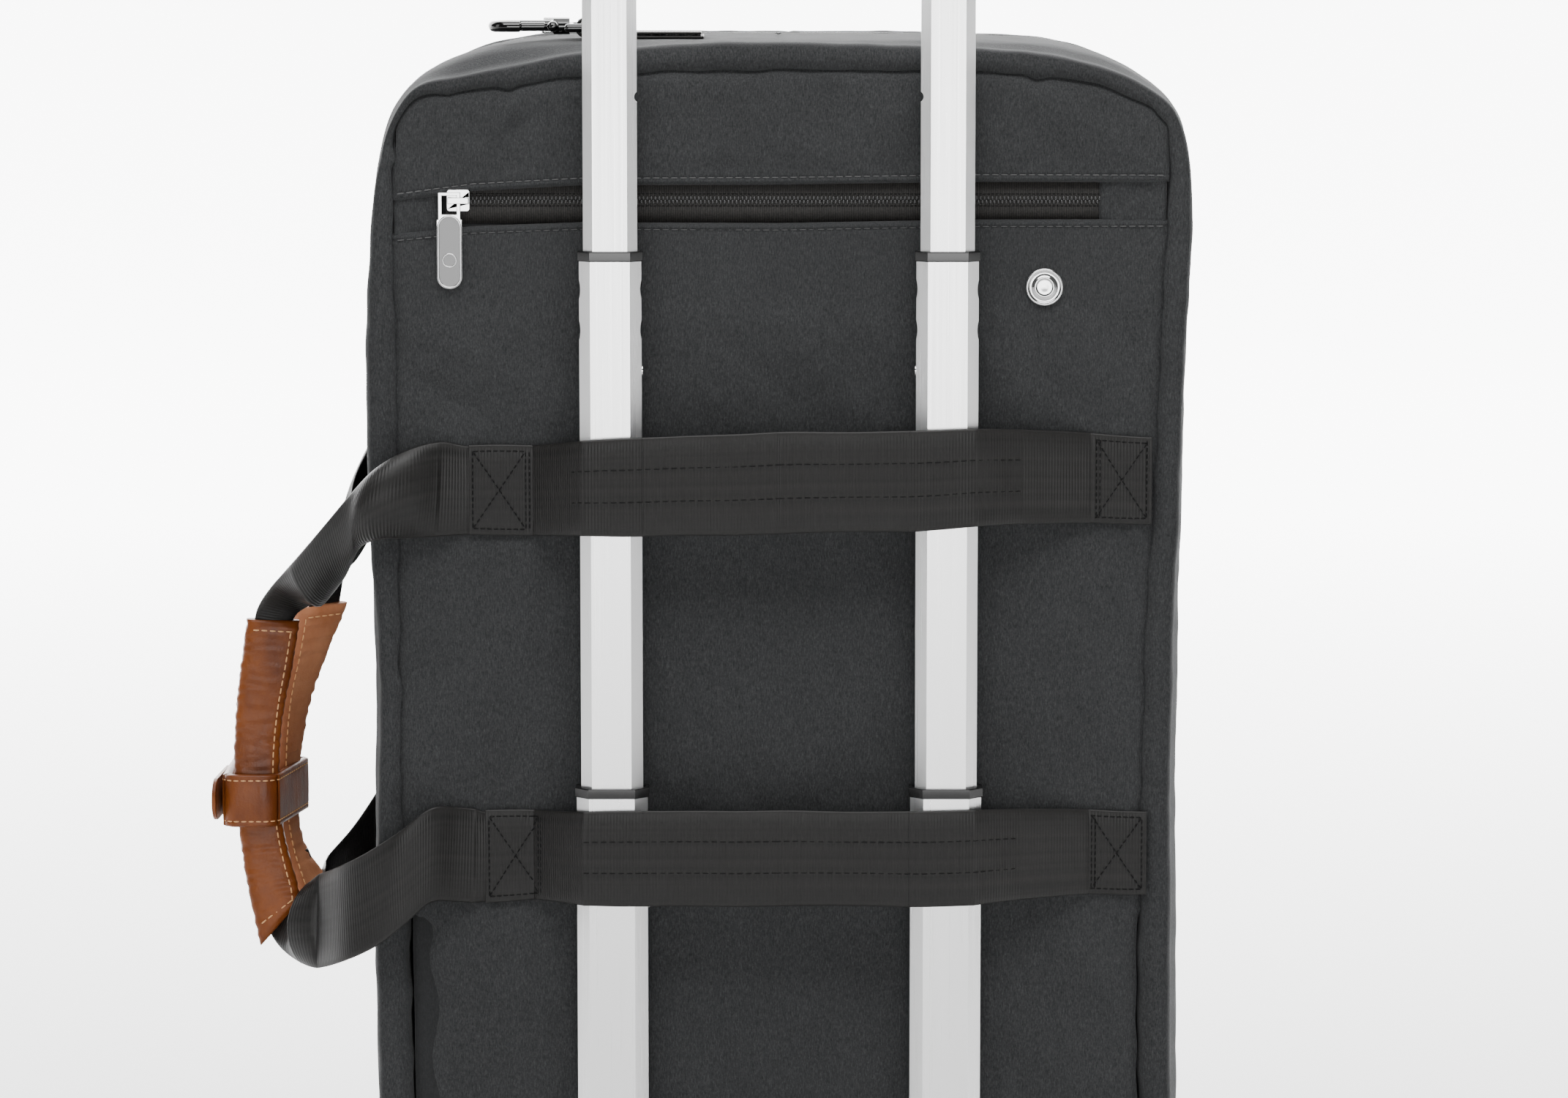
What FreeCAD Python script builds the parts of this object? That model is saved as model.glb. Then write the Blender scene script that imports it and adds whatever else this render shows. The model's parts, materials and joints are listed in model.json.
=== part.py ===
"""A rolling flight bag: a soft-sided bag strapped to a two-wheeled trolley with a telescoping handle.

Units are millimetres. +Z is up. +Y runs from the trolley tubes through the bag to its lid, and +X is to the
right of someone who looks at the tubes. The origin is the middle of the front foot's underside, on the floor.
Each function below makes one sub-part, and the table at the end names them.
"""

import math
import os

import FreeCAD
import Part

V = FreeCAD.Vector

# ---------------------------------------------------------------- driving dimensions

# bag
BAG_WIDTH = 326.0
BAG_HEIGHT = 500.0
TOP_CORNER = 62.0          # corner radius of the bag's outline at the top
BOTTOM_CORNER = 40.0
LEAST_CORNER = 2.0
WALL = 6.0                 # padded fabric wall
ROLL = 12.0                # width of the padded roll round the back and front edges
ROLL_DEPTH = 12.0          # how far the roll reaches along the bag's depth
ROLL_STAND = 2.0           # how far the roll stands proud of the back panel
ROLL_ROUND = 4.0
MAIN_DEPTH = 128.0         # back surface to the zip
ZIP_WIDTH = 14.0           # both tapes of the main zip
ZIP_THICK = 1.2
ZIP_INSET = 0.6            # main zip's tapes inside the bag's outline
ZIP_MEETING = 0.15         # each tape's edge to the middle of the main zip
LID_DEPTH = 48.0
FABRIC = 1.5               # one sewn-on layer of fabric
BACK_FOAM = 7.0

# trolley
FOOT_FROM_BACK = 155.0     # bag's back surface to the middle of the front foot
SEAT_OVER_WHEELS = 12.0    # top of the wheels to the bag's underside
SEAT_GAP = 0.3             # tray to the bag's underside
TUBE_SPACING = 132.0       # centre to centre
TUBE_WIDTHS = (28.0, 24.4, 21.2, 18.0)   # outer stage first
TUBE_FLATNESS = 11.0       # width less depth, the same for every stage
TUBE_WALL = 0.8
TUBE_CHAMFER = 5.0         # of the outer stage; each inner one is smaller by the chamfer step
CHAMFER_STEP = 0.6
CHAMFER_LIMIT = 0.42       # largest chamfer, as a share of a section's depth
TUBE_CLEAR = 0.3           # bag's rolled edge to the outer collar
OUTER_TUBE_BOTTOM = 12.0
FIRST_COLLAR_TOP = 279.0   # floor to the top of the outer stage's collar
STAGE_RISE = 212.0         # collar to collar, drawn out
STAGE_OVERLAP = 62.0       # how much of a stage stays inside the next one, drawn out
COLLAR_HEIGHT = 4.0
COLLAR_LIP = 10.0          # how far a collar reaches down inside its tube
COLLAR_RIM = 0.6           # how far a collar stands out past its tube
COLLAR_ROUND = 0.5
SLIDE_GAP = 0.15           # between a stage and the collar it runs in
PAST = 1.0                 # how far a cut goes on past the solid it is made in
TOUCH = 0.01               # an edge this close to a face lies on it
BUSH_HEIGHT = 9.0
BUSH_GAP = 0.15
PIN_BELOW_COLLAR = 47.0
PIN_RADIUS = 2.2
PIN_STAND = 1.6            # how far the outer tubes' lock pins stand out
PIN_SEAT = 0.4             # how deep a pin reaches into the wall of its tube
PIN_GAP = 0.15
INDEX_HOLE_BELOW = 152.0   # second lock position of each stage
DIMPLES_BELOW = (15.0, 31.0)
DIMPLE_DEPTH = 0.5
DIMPLE_RADIUS = 14.0

# handle grip on top of the tubes
GRIP_END = 3.0             # grip past the outer side of each tube
GRIP_DEPTH = 16.8          # slim enough to pass inside the bands
GRIP_HEIGHT = 30.0
GRIP_SPLIT = 0.45          # share of the height that the lower half takes
GRIP_WALL = 3.4
GRIP_SKIN = 4.0            # floor and roof of the hollow grip
TUBE_IN_GRIP = 20.0
BUTTON_LENGTH = 44.0
BUTTON_DEPTH = 6.4
BUTTON_STAND = 4.5
BUTTON_FLANGE = 1.4
BUTTON_GAP = 0.3
ROD_RADIUS = 1.6
ROD_INSIDE = 20.0          # rod's lower end inside the top tube
ROD_IN_GRIP = 8.0

# wheels and base
WHEEL_RADIUS = 30.0
WHEEL_WIDTH = 20.0
TYRE_THICK = 6.0
WHEEL_X = 132.0            # centre plane of a wheel
WHEEL_FORWARD = 8.0        # axles in front of the middle of the tubes
TYRE_ROUND = 3.5
HUB_INSET = 0.6            # hub's face inside the tyre's
HUB_DISH = 6.0
HUB_RIM = 3.0
HUB_BOSS = 6.6
HUB_WINDOWS = 6
HUB_WINDOW_RING = 14.0     # radius of the circle the windows lie on
HUB_WINDOW = 3.6
WHEEL_GAP = 1.5            # tyre to its housing
HOUSING_WALL = 3.5
HOUSING_BOTTOM = 20.0      # floor to the cheeks' lower ends
HOUSING_ROUND = 14.0
AXLE_RADIUS = 3.0
AXLE_GAP = 0.05            # running clearance of a hub on its axle
AXLE_HEAD = 2.0            # radius of the pin's head, over the pin's own
AXLE_CORE = 0.75           # radius left in the clip's groove, over the pin's own
AXLE_HEAD_HEIGHT = 0.7     # over the pin's radius
TRAY_THICK = 6.0
TRAY_HALF_WIDTH = 140.0
TRAY_REAR = 2.0            # tray's rear edge behind the bag's back surface
TRAY_FRONT = 172.0         # bag's back surface to the tray's front edge
TRAY_CORNER = 22.0
RIB_HEIGHT = 8.0
RIB_THICK = 3.0
RIB_SPACING = 80.0
SOCKET_WALL = 5.0
FOOT_WIDTH = 200.0
FOOT_DEPTH = 18.0
FOOT_PAD = 4.0
FOOT_ROUND = 5.0
FOOT_SILL = 9.0
FOOT_WINDOW = 124.0
SCREW_RADIUS = 2.0
SCREW_SINK = 0.3           # screw head below the tray's top
SCREW_REACH = 12.0         # screw below the tray

# back of the bag
ZIP_BELOW_TOP = 62.0       # bag's top to the pocket zip
ZIP_OPENING = 11.0         # between the two hems
ZIP_TAPE_WIDTH = 16.0
ZIP_LEFT = -131.0
ZIP_RIGHT = 129.0
ZIP_RECESS = 3.6           # back surface to the underside of the tape
CHANNEL_END = 3.0          # channel in the foam past the tape's ends
TAPE = 0.8
COIL_HEIGHT = 1.0
COIL_WIDTH = 3.0
SLIDER_START = -126.0      # where the pocket slider rests, zip shut
SLIDER_LENGTH = 9.0
SLIDER_WIDTH = 8.6
SLIDER_STAND = 0.9         # slider's face in front of the bag's back surface
LEG_INSET = 1.0            # middle of the left leg inside the slider's end
RIGHT_LEG_INSET = 0.4
POCKET_ARCH = 1.3          # slider's face to the underside of its arch
COIL_SIDE = 0.3            # each side of the coil inside the slider
PULL_ABOVE = 3.2           # pull's upper end above the zip
PULL_SHOULDER = 8.0        # below the zip, where the pull widens
PULL_STEP = 0.6
PULL_PLATE = 0.8
PULL_WINDOW = (-5.4, 1.9)  # lower and upper end of the window, from the zip
PULL_FRAME = 2.1           # metal beside the window
PULL_WIDTH = 10.0
PULL_LENGTH = 38.0
SLIDER_GAP = 0.25          # slider to the tape under it
MAIN_SLIDER = 12.0
SLIDER_DEPTH = 0.375       # half the main slider's depth, over its length
PULL_END = 1 / 12          # middle of the slider to the pull's end, over the same length
PULL_ROUND = 0.8           # pull's corners, over half its width
MAIN_PULL = 26.0
PULL_HALF = 4.2
PULL_THICK = 0.9
ARCH_FOOT = 3.0
ARCH_BAR = 5.2
LEG = 1.2
ROUND_EDGE = 1.2
STUD_X = 104.5
STUD_BELOW_TOP = 96.0
STUD_RADIUS = 7.5
STUD_RISE = 2.0            # height of the dome over its rim
STUD_RIM = 0.8
SLOT_TOP_BELOW = 352.0     # bag's top to the upper end of the strap slots at the panel's sides
SLOT_INSET = 8.0
SLOT_BOTTOM = 60.0         # bag's underside to the lower end of the slots

# webbing
WEBBING = 38.0
WEBBING_THICK = 1.6
BAND_CLEAR = 0.6           # band to the largest thing that passes under it
BANDS_BELOW_TOP = (323.0, 176.0)   # bag's top to the middle of the lower and the upper band
PATCH_LENGTHS = (25.0, 23.0)       # sewn end of a band at the left and at the right
PATCH_FROM_ROLL = 5.0      # right patch to the roll
RAMP_LEFT = 22.0           # how far a band takes to come down to the panel at the left
STRAP_CLEAR = 8.0          # how far the free straps stand off where they pass the roll
STRAP_FLAT = (0, 1, 0)     # direction of a free strap's thickness where it lies flat
STRAP_TWIST = (0.4, 1, 0)
# bends of the rear straps: x of the upper and lower edge from the bag's side,
# then z of both from the band's middle
UP_OVER_ROLL = (12.0, 14.0, 9.0, -19.0)
UP_PAST_EDGE = (-12.0, -8.0, -8.0, -32.0)
LOW_OVER_ROLL = (12.0, 14.0, 6.0, -28.0)
LOW_PAST_EDGE = (-9.0, -8.0, -6.0, -42.0)
# the same, from the middle of the rear grip's end
UP_AT_GRIP = (-16.0, 2.0, 0.0, 0.0)
LOW_TURN = (0.0, 9.0, -38.0, -60.0)
LOW_TURN_BACK = 15.0       # lower turn behind the middle of the grip
LOW_AT_GRIP = (-13.0, 2.0, 0.0, 0.0)
PATCH_DEPTH = (88.0, 116.0)     # front handle's patches on the side wall, from the back surface
FRONT_SWING = (13.0, 8.0)  # how far the front straps' upper and lower edges swing out from the wall
FRONT_DROP = 21.0          # and how far they drop there
FRONT_TWIST = (1, 0.5, 0)  # direction of their thickness there, and at the grip
FRONT_LIE = (1, 0, 0.2)
FRONT_END = 9.0            # half width of a front strap where it meets its grip

# carry handle
GRIP_LEATHER = 9.0
GRIP_WIDTH = 20.0
REAR_GRIP_Y = 35.0         # from the bag's back surface
REAR_GRIP_OUT = 40.0       # bag's side to the middle of each grip at its ends
FRONT_GRIP_OUT = 27.0
GRIP_AROUND = 12           # points round a grip's section
GRIP_SQUARE = 0.6          # exponent of its rounded oblong, 1 being an ellipse
FRONT_GRIP_Y = 66.0
GRIP_BOW = 9.0             # how far a leather grip bows outwards at its middle
GRIP_STEPS = 8
GRIP_DROP = 51.0           # middle of the leather grips below the middle of the bands
GRIP_HALF_LENGTH = 66.0
FRONT_GRIP_TOP = 5.0       # front grip's top above the rear one's
FRONT_GRIP_LOW = 9.0
FRONT_LEAN = 6.0
STRAP_END_GAP = 3.0        # strap's end to its grip
KEEPER_WALL = 2.0
KEEPER_GAP = 1.0           # keeper to the grips inside it
KEEPER_ROUND = 4.0
KEEPER_HEIGHT = 22.0
KEEPER_DROP = 5.5          # middle of the keeper below the middle of the grips
TAB_WIDTH = 17.0
TAB_LENGTH = 40.0
TAB_THICK = 1.6
TAB_GAP = 0.3              # tab to the keeper at its fold
TAB_INSET = 12.0           # fold line from the keeper's far corner
TAB_LIFT = 3.0             # degrees that the tab stands off by
SNAP_RADIUS = 4.5
SNAP_STAND = 1.2

# strap and hook on top
HOOK_Y = 42.0
HOOK_WIDTH = 17.0
HOOK_LENGTH = 26.0
HOOK_ROD = 2.2
HOOK_CLEAR = 0.4           # hook to the loop of webbing
BARREL = 1.5               # barrel's and gate's radius over the hook's
GATE_ROD = 0.8
NOSE_GAP = 0.5             # gate's end to the nose
HOOK_LEFT = -116.0
HOOK_EYE = 13.0            # hook's body to the strap loop its eye turns in
EYE_ROD = 1.7
LOOP_RADIUS = 4.4
LOOP_BORE = 2.2
GATE_GAP = 1.0
TOP_STRAP_WIDTH = 20.0
TOP_STRAP_END = -30.0

# ---------------------------------------------------------------- places worked out from them

BACK = -FOOT_FROM_BACK                       # y of the bag's back surface
ZIP_Y = BACK + MAIN_DEPTH                    # y where the gusset stops and the main zip starts
LID_Y = ZIP_Y + ZIP_WIDTH
FRONT = LID_Y + LID_DEPTH
BAG_BOTTOM = 2 * WHEEL_RADIUS + SEAT_OVER_WHEELS
BAG_TOP = BAG_BOTTOM + BAG_HEIGHT
HALF = BAG_WIDTH / 2
PANEL_HALF = HALF - ROLL
TUBE_STANDOFF = ROLL_STAND + TUBE_CLEAR + COLLAR_RIM      # bag's back surface to the outer tube
TUBE_X = TUBE_SPACING / 2
TUBE_Y = BACK - TUBE_STANDOFF - (TUBE_WIDTHS[0] - TUBE_FLATNESS) / 2
TUBE_TOPS = [FIRST_COLLAR_TOP - COLLAR_HEIGHT + i * STAGE_RISE for i in range(4)]
TUBE_BOTTOMS = [OUTER_TUBE_BOTTOM] + [t - STAGE_OVERLAP + COLLAR_HEIGHT for t in TUBE_TOPS[:3]]
GRIP_BOTTOM = TUBE_TOPS[3] + COLLAR_HEIGHT
GRIP_JOIN = GRIP_BOTTOM + GRIP_SPLIT * GRIP_HEIGHT
GRIP_TOP = GRIP_BOTTOM + GRIP_HEIGHT
HOUSING_HALF = WHEEL_WIDTH / 2 + WHEEL_GAP + HOUSING_WALL
WHEEL_Y = TUBE_Y + WHEEL_FORWARD
TRAY_TOP = BAG_BOTTOM - SEAT_GAP
TRAY_BOTTOM = TRAY_TOP - TRAY_THICK
SOCKET_BOTTOM = OUTER_TUBE_BOTTOM - SOCKET_WALL
POCKET_ZIP_Z = BAG_TOP - ZIP_BELOW_TOP
BAND_INNER = TUBE_Y - (TUBE_WIDTHS[0] - TUBE_FLATNESS) / 2 - COLLAR_RIM - BAND_CLEAR
BAND_FLAT = TUBE_X + TUBE_WIDTHS[0] / 2 - TUBE_CHAMFER      # half length of the stretch over the tubes
PATCH_LEFT = (-BAND_FLAT - RAMP_LEFT - PATCH_LENGTHS[0], -BAND_FLAT - RAMP_LEFT)
PATCH_RIGHT = (PANEL_HALF - PATCH_FROM_ROLL - PATCH_LENGTHS[1], PANEL_HALF - PATCH_FROM_ROLL)
BAND_CENTRES = tuple(BAG_TOP - below for below in BANDS_BELOW_TOP)
GRIP_MIDDLE = sum(BAND_CENTRES) / 2 - GRIP_DROP
KEEPER_Z = GRIP_MIDDLE - KEEPER_DROP
REAR_GRIP_X = -HALF - REAR_GRIP_OUT          # middle of each leather grip at its ends
FRONT_GRIP_X = -HALF - FRONT_GRIP_OUT
SIDES = {"left": -1, "right": 1}

# ---------------------------------------------------------------- helpers


def box(x, y, z):
    """A box from three (low, high) pairs."""
    return Part.makeBox(x[1] - x[0], y[1] - y[0], z[1] - z[0], V(x[0], y[0], z[0]))


def rod(start, end, radius):
    """A round bar between two points."""
    start, end = V(*start), V(*end)
    return Part.makeCylinder(radius, (end - start).Length, start, end - start)


def fuse(shapes):
    """One solid from several that touch."""
    return shapes[0].multiFuse(shapes[1:]).removeSplitter() if len(shapes) > 1 else shapes[0]


def outline(inset, y):
    """The bag's outline seen from behind, moved inwards, as a wire at one depth."""
    w, low, high = HALF - inset, BAG_BOTTOM + inset, BAG_TOP - inset
    top = max(TOP_CORNER - inset, LEAST_CORNER)
    low_r = max(BOTTOM_CORNER - inset, LEAST_CORNER)
    d = math.sqrt(0.5)
    edges = []
    corners = [
        (-w + low_r, low + low_r, low_r, -1, -1),
        (w - low_r, low + low_r, low_r, 1, -1),
        (w - top, high - top, top, 1, 1),
        (-w + top, high - top, top, -1, 1),
    ]
    ends = []
    for cx, cz, r, sx, sz in corners:
        flat = V(cx, y, cz + sz * r)
        side = V(cx + sx * r, y, cz)
        mid = V(cx + sx * r * d, y, cz + sz * r * d)
        first, last = (side, flat) if sx * sz > 0 else (flat, side)
        edges.append(Part.Arc(first, mid, last).toShape())
        ends.append((first, last))
    for (_, last), (first, _) in zip(ends, ends[1:] + ends[:1]):
        edges.append(Part.LineSegment(last, first).toShape())
    return Part.Wire(Part.__sortEdges__(edges))


def plate(inset, y0, y1):
    """A flat panel with the bag's outline."""
    return Part.Face(outline(inset, y0)).extrude(V(0, y1 - y0, 0))


def ring(outer, inner, y0, y1):
    """A band that follows the bag's outline, from one inset to another."""
    return plate(outer, y0, y1).cut(plate(inner, y0 - PAST, y1 + PAST))


def tube_profile(width, depth, chamfer, x, y, z):
    """The eight-sided section of a handle tube, as a wire."""
    a, b, c = width / 2, depth / 2, chamfer
    corners = [(a, b - c), (a - c, b), (-a + c, b), (-a, b - c),
               (-a, -b + c), (-a + c, -b), (a - c, -b), (a, -b + c)]
    points = [V(x + px, y + py, z) for px, py in corners]
    return Part.makePolygon(points + points[:1])


def tube_bar(stage, grow, x, z0, z1):
    """A solid bar with a stage's section, made wider all round by grow."""
    width = TUBE_WIDTHS[stage] + 2 * grow
    depth = TUBE_WIDTHS[stage] - TUBE_FLATNESS + 2 * grow
    chamfer = min(TUBE_CHAMFER - stage * CHAMFER_STEP + (2 - math.sqrt(2)) * grow, depth * CHAMFER_LIMIT)
    profile = tube_profile(width, depth, chamfer, x, TUBE_Y, z0)
    return Part.Face(profile).extrude(V(0, 0, z1 - z0))


def strip(points, thick, z0, z1):
    """A band of even thickness whose middle line is a path in plan, standing from z0 to z1."""
    def normal(p, q):
        along = V(q[0] - p[0], q[1] - p[1], 0).normalize()
        return V(-along.y, along.x, 0)

    normals = [normal(p, q) for p, q in zip(points, points[1:])]
    left, right = [], []
    for i, p in enumerate(points):
        near = normals[max(i - 1, 0)]
        far = normals[min(i, len(normals) - 1)]
        mitre = near + far
        mitre = mitre * (thick / (mitre.dot(near) * 2))
        left.append(V(p[0] + mitre.x, p[1] + mitre.y, z0))
        right.append(V(p[0] - mitre.x, p[1] - mitre.y, z0))
    loop = left + right[::-1]
    return Part.Face(Part.makePolygon(loop + loop[:1])).extrude(V(0, 0, z1 - z0))


def webbing_loft(sections, thick):
    """A strap through sections, each given by its two edge points and the direction of its thickness."""
    wires = []
    for top, low, across in sections:
        top, low, half = V(*top), V(*low), V(*across).normalize() * (thick / 2)
        corners = [top + half, low + half, low - half, top - half]
        wires.append(Part.makePolygon(corners + corners[:1]))
    pieces = [Part.makeLoft([a, b], True, True) for a, b in zip(wires, wires[1:])]
    return fuse(pieces)


# ---------------------------------------------------------------- trolley base


def base_tray():
    """Moulded tray under the bag, with its ribs and the two sockets that hold the outer tubes."""
    depth = (BACK - TRAY_REAR, BACK + TRAY_FRONT)
    tray = box((-TRAY_HALF_WIDTH, TRAY_HALF_WIDTH), depth, (TRAY_BOTTOM, TRAY_TOP))
    front = [e for e in tray.Edges if e.BoundBox.ZLength > TRAY_THICK / 2 and e.BoundBox.YMin > 0]
    pieces = [tray.makeFillet(TRAY_CORNER, front)]
    rib_z = (TRAY_BOTTOM - RIB_HEIGHT, TRAY_BOTTOM)
    rib_end = WHEEL_X - HOUSING_HALF - RIB_THICK
    across = WHEEL_Y + WHEEL_RADIUS + WHEEL_GAP + HOUSING_WALL
    for x in (-rib_end + RIB_THICK / 2, -RIB_SPACING / 2, RIB_SPACING / 2, rib_end - RIB_THICK / 2):
        pieces.append(box((x - RIB_THICK / 2, x + RIB_THICK / 2), (across, -FOOT_DEPTH / 2), rib_z))
    pieces.append(box((-rib_end, rib_end), (across, across + RIB_THICK), rib_z))
    half_w = TUBE_WIDTHS[0] / 2 + SOCKET_WALL
    half_d = (TUBE_WIDTHS[0] - TUBE_FLATNESS) / 2 + SOCKET_WALL
    for side in SIDES.values():
        x = side * TUBE_X
        pieces.append(box((x - half_w, x + half_w), (TUBE_Y - half_d, across), (SOCKET_BOTTOM, TRAY_BOTTOM)))
        pieces.append(box((x - half_w, x + half_w), (TUBE_Y - half_d, BACK), (TRAY_BOTTOM, TRAY_TOP)))
    web = (TUBE_Y - SOCKET_WALL / 2, TUBE_Y + SOCKET_WALL / 2)
    pieces.append(box((-TUBE_X, TUBE_X), web, (SOCKET_BOTTOM + 4 * SOCKET_WALL, TRAY_BOTTOM)))
    tray = fuse(pieces)
    lightening = (BACK + SOCKET_WALL, across - SOCKET_WALL)
    for side in SIDES.values():
        x = side * TUBE_X
        tray = tray.cut(tube_bar(0, 0, x, OUTER_TUBE_BOTTOM, TRAY_TOP + PAST))
        hollow = TUBE_WIDTHS[0] / 2
        tray = tray.cut(box((x - hollow, x + hollow), lightening, (SOCKET_BOTTOM - PAST, TRAY_BOTTOM)))
    return tray.cut(screw_set())


def wheel_housing(side):
    """Moulded arch that carries one wheel, open below and to the rear."""
    x = side * WHEEL_X
    inner = WHEEL_WIDTH / 2 + WHEEL_GAP
    outer = HOUSING_HALF
    reach = WHEEL_RADIUS + WHEEL_GAP
    front = WHEEL_Y + reach + HOUSING_WALL
    rear = WHEEL_Y - reach
    body = box((x - outer, x + outer), (rear, front), (HOUSING_BOTTOM, TRAY_BOTTOM))
    cheeks = [e for e in body.Edges if e.BoundBox.XLength > outer]
    low = [e for e in cheeks if e.BoundBox.ZMax < HOUSING_BOTTOM + 1]
    high = [e for e in cheeks if e.BoundBox.ZMin > TRAY_BOTTOM - 1 and e.BoundBox.YMax < WHEEL_Y]
    body = body.makeFillet(HOUSING_ROUND, low + high)
    cavity = rod((x - inner, WHEEL_Y, WHEEL_RADIUS), (x + inner, WHEEL_Y, WHEEL_RADIUS), reach)
    below = box((x - inner, x + inner), (WHEEL_Y - reach, WHEEL_Y + reach), (0, WHEEL_RADIUS))
    behind = box((x - inner, x + inner), (rear - PAST, WHEEL_Y), (0, WHEEL_RADIUS + WHEEL_RADIUS / 3))
    ends = (x - outer - PAST, WHEEL_Y, WHEEL_RADIUS), (x + outer + PAST, WHEEL_Y, WHEEL_RADIUS)
    bore = rod(*ends, AXLE_RADIUS)
    return body.cut(cavity).cut(below).cut(behind).cut(bore).cut(screw_set())


def axles():
    """The two steel axle pins, with a head outside and a clip groove inside."""
    pins = []
    for side in SIDES.values():
        inside = side * (WHEEL_X - HOUSING_HALF - AXLE_RADIUS)
        outside = side * (WHEEL_X + HOUSING_HALF)
        centre = (WHEEL_Y, WHEEL_RADIUS)
        pin = rod((inside, *centre), (outside, *centre), AXLE_RADIUS)
        head = rod((outside, *centre), (outside + side * AXLE_RADIUS * AXLE_HEAD_HEIGHT, *centre),
                   AXLE_RADIUS * AXLE_HEAD)
        start, end = inside + side * AXLE_RADIUS / 3, inside + side * AXLE_RADIUS * 2 / 3
        groove = rod((start, *centre), (end, *centre), AXLE_RADIUS + PAST)
        core = rod((inside, *centre), (outside, *centre), AXLE_RADIUS * AXLE_CORE)
        pins.append(pin.fuse(head).cut(groove.cut(core)))
    return Part.makeCompound(pins)


def wheel_tyre(side):
    """Soft tyre with rounded shoulders."""
    x = side * WHEEL_X - WHEEL_WIDTH / 2
    tyre = rod((x, WHEEL_Y, WHEEL_RADIUS), (x + WHEEL_WIDTH, WHEEL_Y, WHEEL_RADIUS), WHEEL_RADIUS)
    tyre = tyre.makeFillet(TYRE_ROUND, [e for e in tyre.Edges if e.Length > 6 * WHEEL_RADIUS])
    ends = (x - PAST, WHEEL_Y, WHEEL_RADIUS), (x + WHEEL_WIDTH + PAST, WHEEL_Y, WHEEL_RADIUS)
    return tyre.cut(rod(*ends, WHEEL_RADIUS - TYRE_THICK))


def wheel_hub(side):
    """Nylon hub with a dished face and round windows."""
    rim = WHEEL_RADIUS - TYRE_THICK
    half = WHEEL_WIDTH / 2 - HUB_INSET
    x = side * WHEEL_X

    def turned(x0, x1, radius):
        return rod((x0, WHEEL_Y, WHEEL_RADIUS), (x1, WHEEL_Y, WHEEL_RADIUS), radius)

    hub = turned(x - half, x + half, rim)
    for face in (-1, 1):
        x0, x1 = x + face * (half - HUB_DISH), x + face * (half + PAST)
        hub = hub.cut(turned(x0, x1, rim - HUB_RIM).cut(turned(x0, x1, HUB_BOSS)))
    for i in range(HUB_WINDOWS):
        a = 2 * math.pi * i / HUB_WINDOWS
        y, z = WHEEL_Y + HUB_WINDOW_RING * math.cos(a), WHEEL_RADIUS + HUB_WINDOW_RING * math.sin(a)
        hub = hub.cut(rod((x - half - PAST, y, z), (x + half + PAST, y, z), HUB_WINDOW))
    return hub.cut(turned(x - half - PAST, x + half + PAST, AXLE_RADIUS + AXLE_GAP))


def front_foot():
    """Skid that holds the front of the tray off the floor, with an arched window."""
    half, deep = FOOT_WIDTH / 2, FOOT_DEPTH / 2
    outer = box((-half, half), (-deep, deep), (FOOT_PAD, TRAY_BOTTOM))
    outer = outer.makeFillet(FOOT_ROUND, [e for e in outer.Edges if e.BoundBox.ZLength > FOOT_ROUND])
    sill, top = FOOT_PAD + FOOT_SILL, TRAY_BOTTOM - FOOT_SILL
    span = FOOT_WINDOW / 2
    rise = (top - sill) / 2
    radius = (span ** 2 + rise ** 2) / (2 * rise)
    arch = rod((0, -FOOT_DEPTH, top - radius), (0, FOOT_DEPTH, top - radius), radius)
    window = arch.common(box((-span, span), (-FOOT_DEPTH, FOOT_DEPTH), (sill, top)))
    return outer.cut(window).cut(screw_set())


def foot_pad():
    """Rubber strip under the foot: its underside is what the case stands on."""
    half, deep = FOOT_WIDTH / 2, FOOT_DEPTH / 2
    pad = box((-half, half), (-deep, deep), (0, FOOT_PAD))
    return pad.makeFillet(FOOT_ROUND, [e for e in pad.Edges if e.BoundBox.ZLength > FOOT_PAD / 2])


def screw_set():
    """The four countersunk screws through the tray, as one shape."""
    rear = WHEEL_Y + WHEEL_RADIUS + WHEEL_GAP - SCREW_RADIUS
    spots = [(s * x, y) for x, y in ((FOOT_WIDTH / 2 - FOOT_DEPTH, 0.0), (WHEEL_X, rear)) for s in (-1, 1)]
    screws = []
    for x, y in spots:
        neck = TRAY_TOP - SCREW_SINK - SCREW_RADIUS
        head = Part.makeCone(SCREW_RADIUS, SCREW_RADIUS * 2, SCREW_RADIUS, V(x, y, neck), V(0, 0, 1))
        shank = rod((x, y, TRAY_BOTTOM - SCREW_REACH), (x, y, neck), SCREW_RADIUS)
        screws.append(head.fuse(shank))
    return Part.makeCompound(screws)


# ---------------------------------------------------------------- telescoping tubes


def wall_drill(x, z, radius):
    """A short drill through the side wall of a tube."""
    reach = 2 * PIN_STAND
    return rod((x - reach, TUBE_Y, z), (x + reach, TUBE_Y, z), radius)


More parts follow.
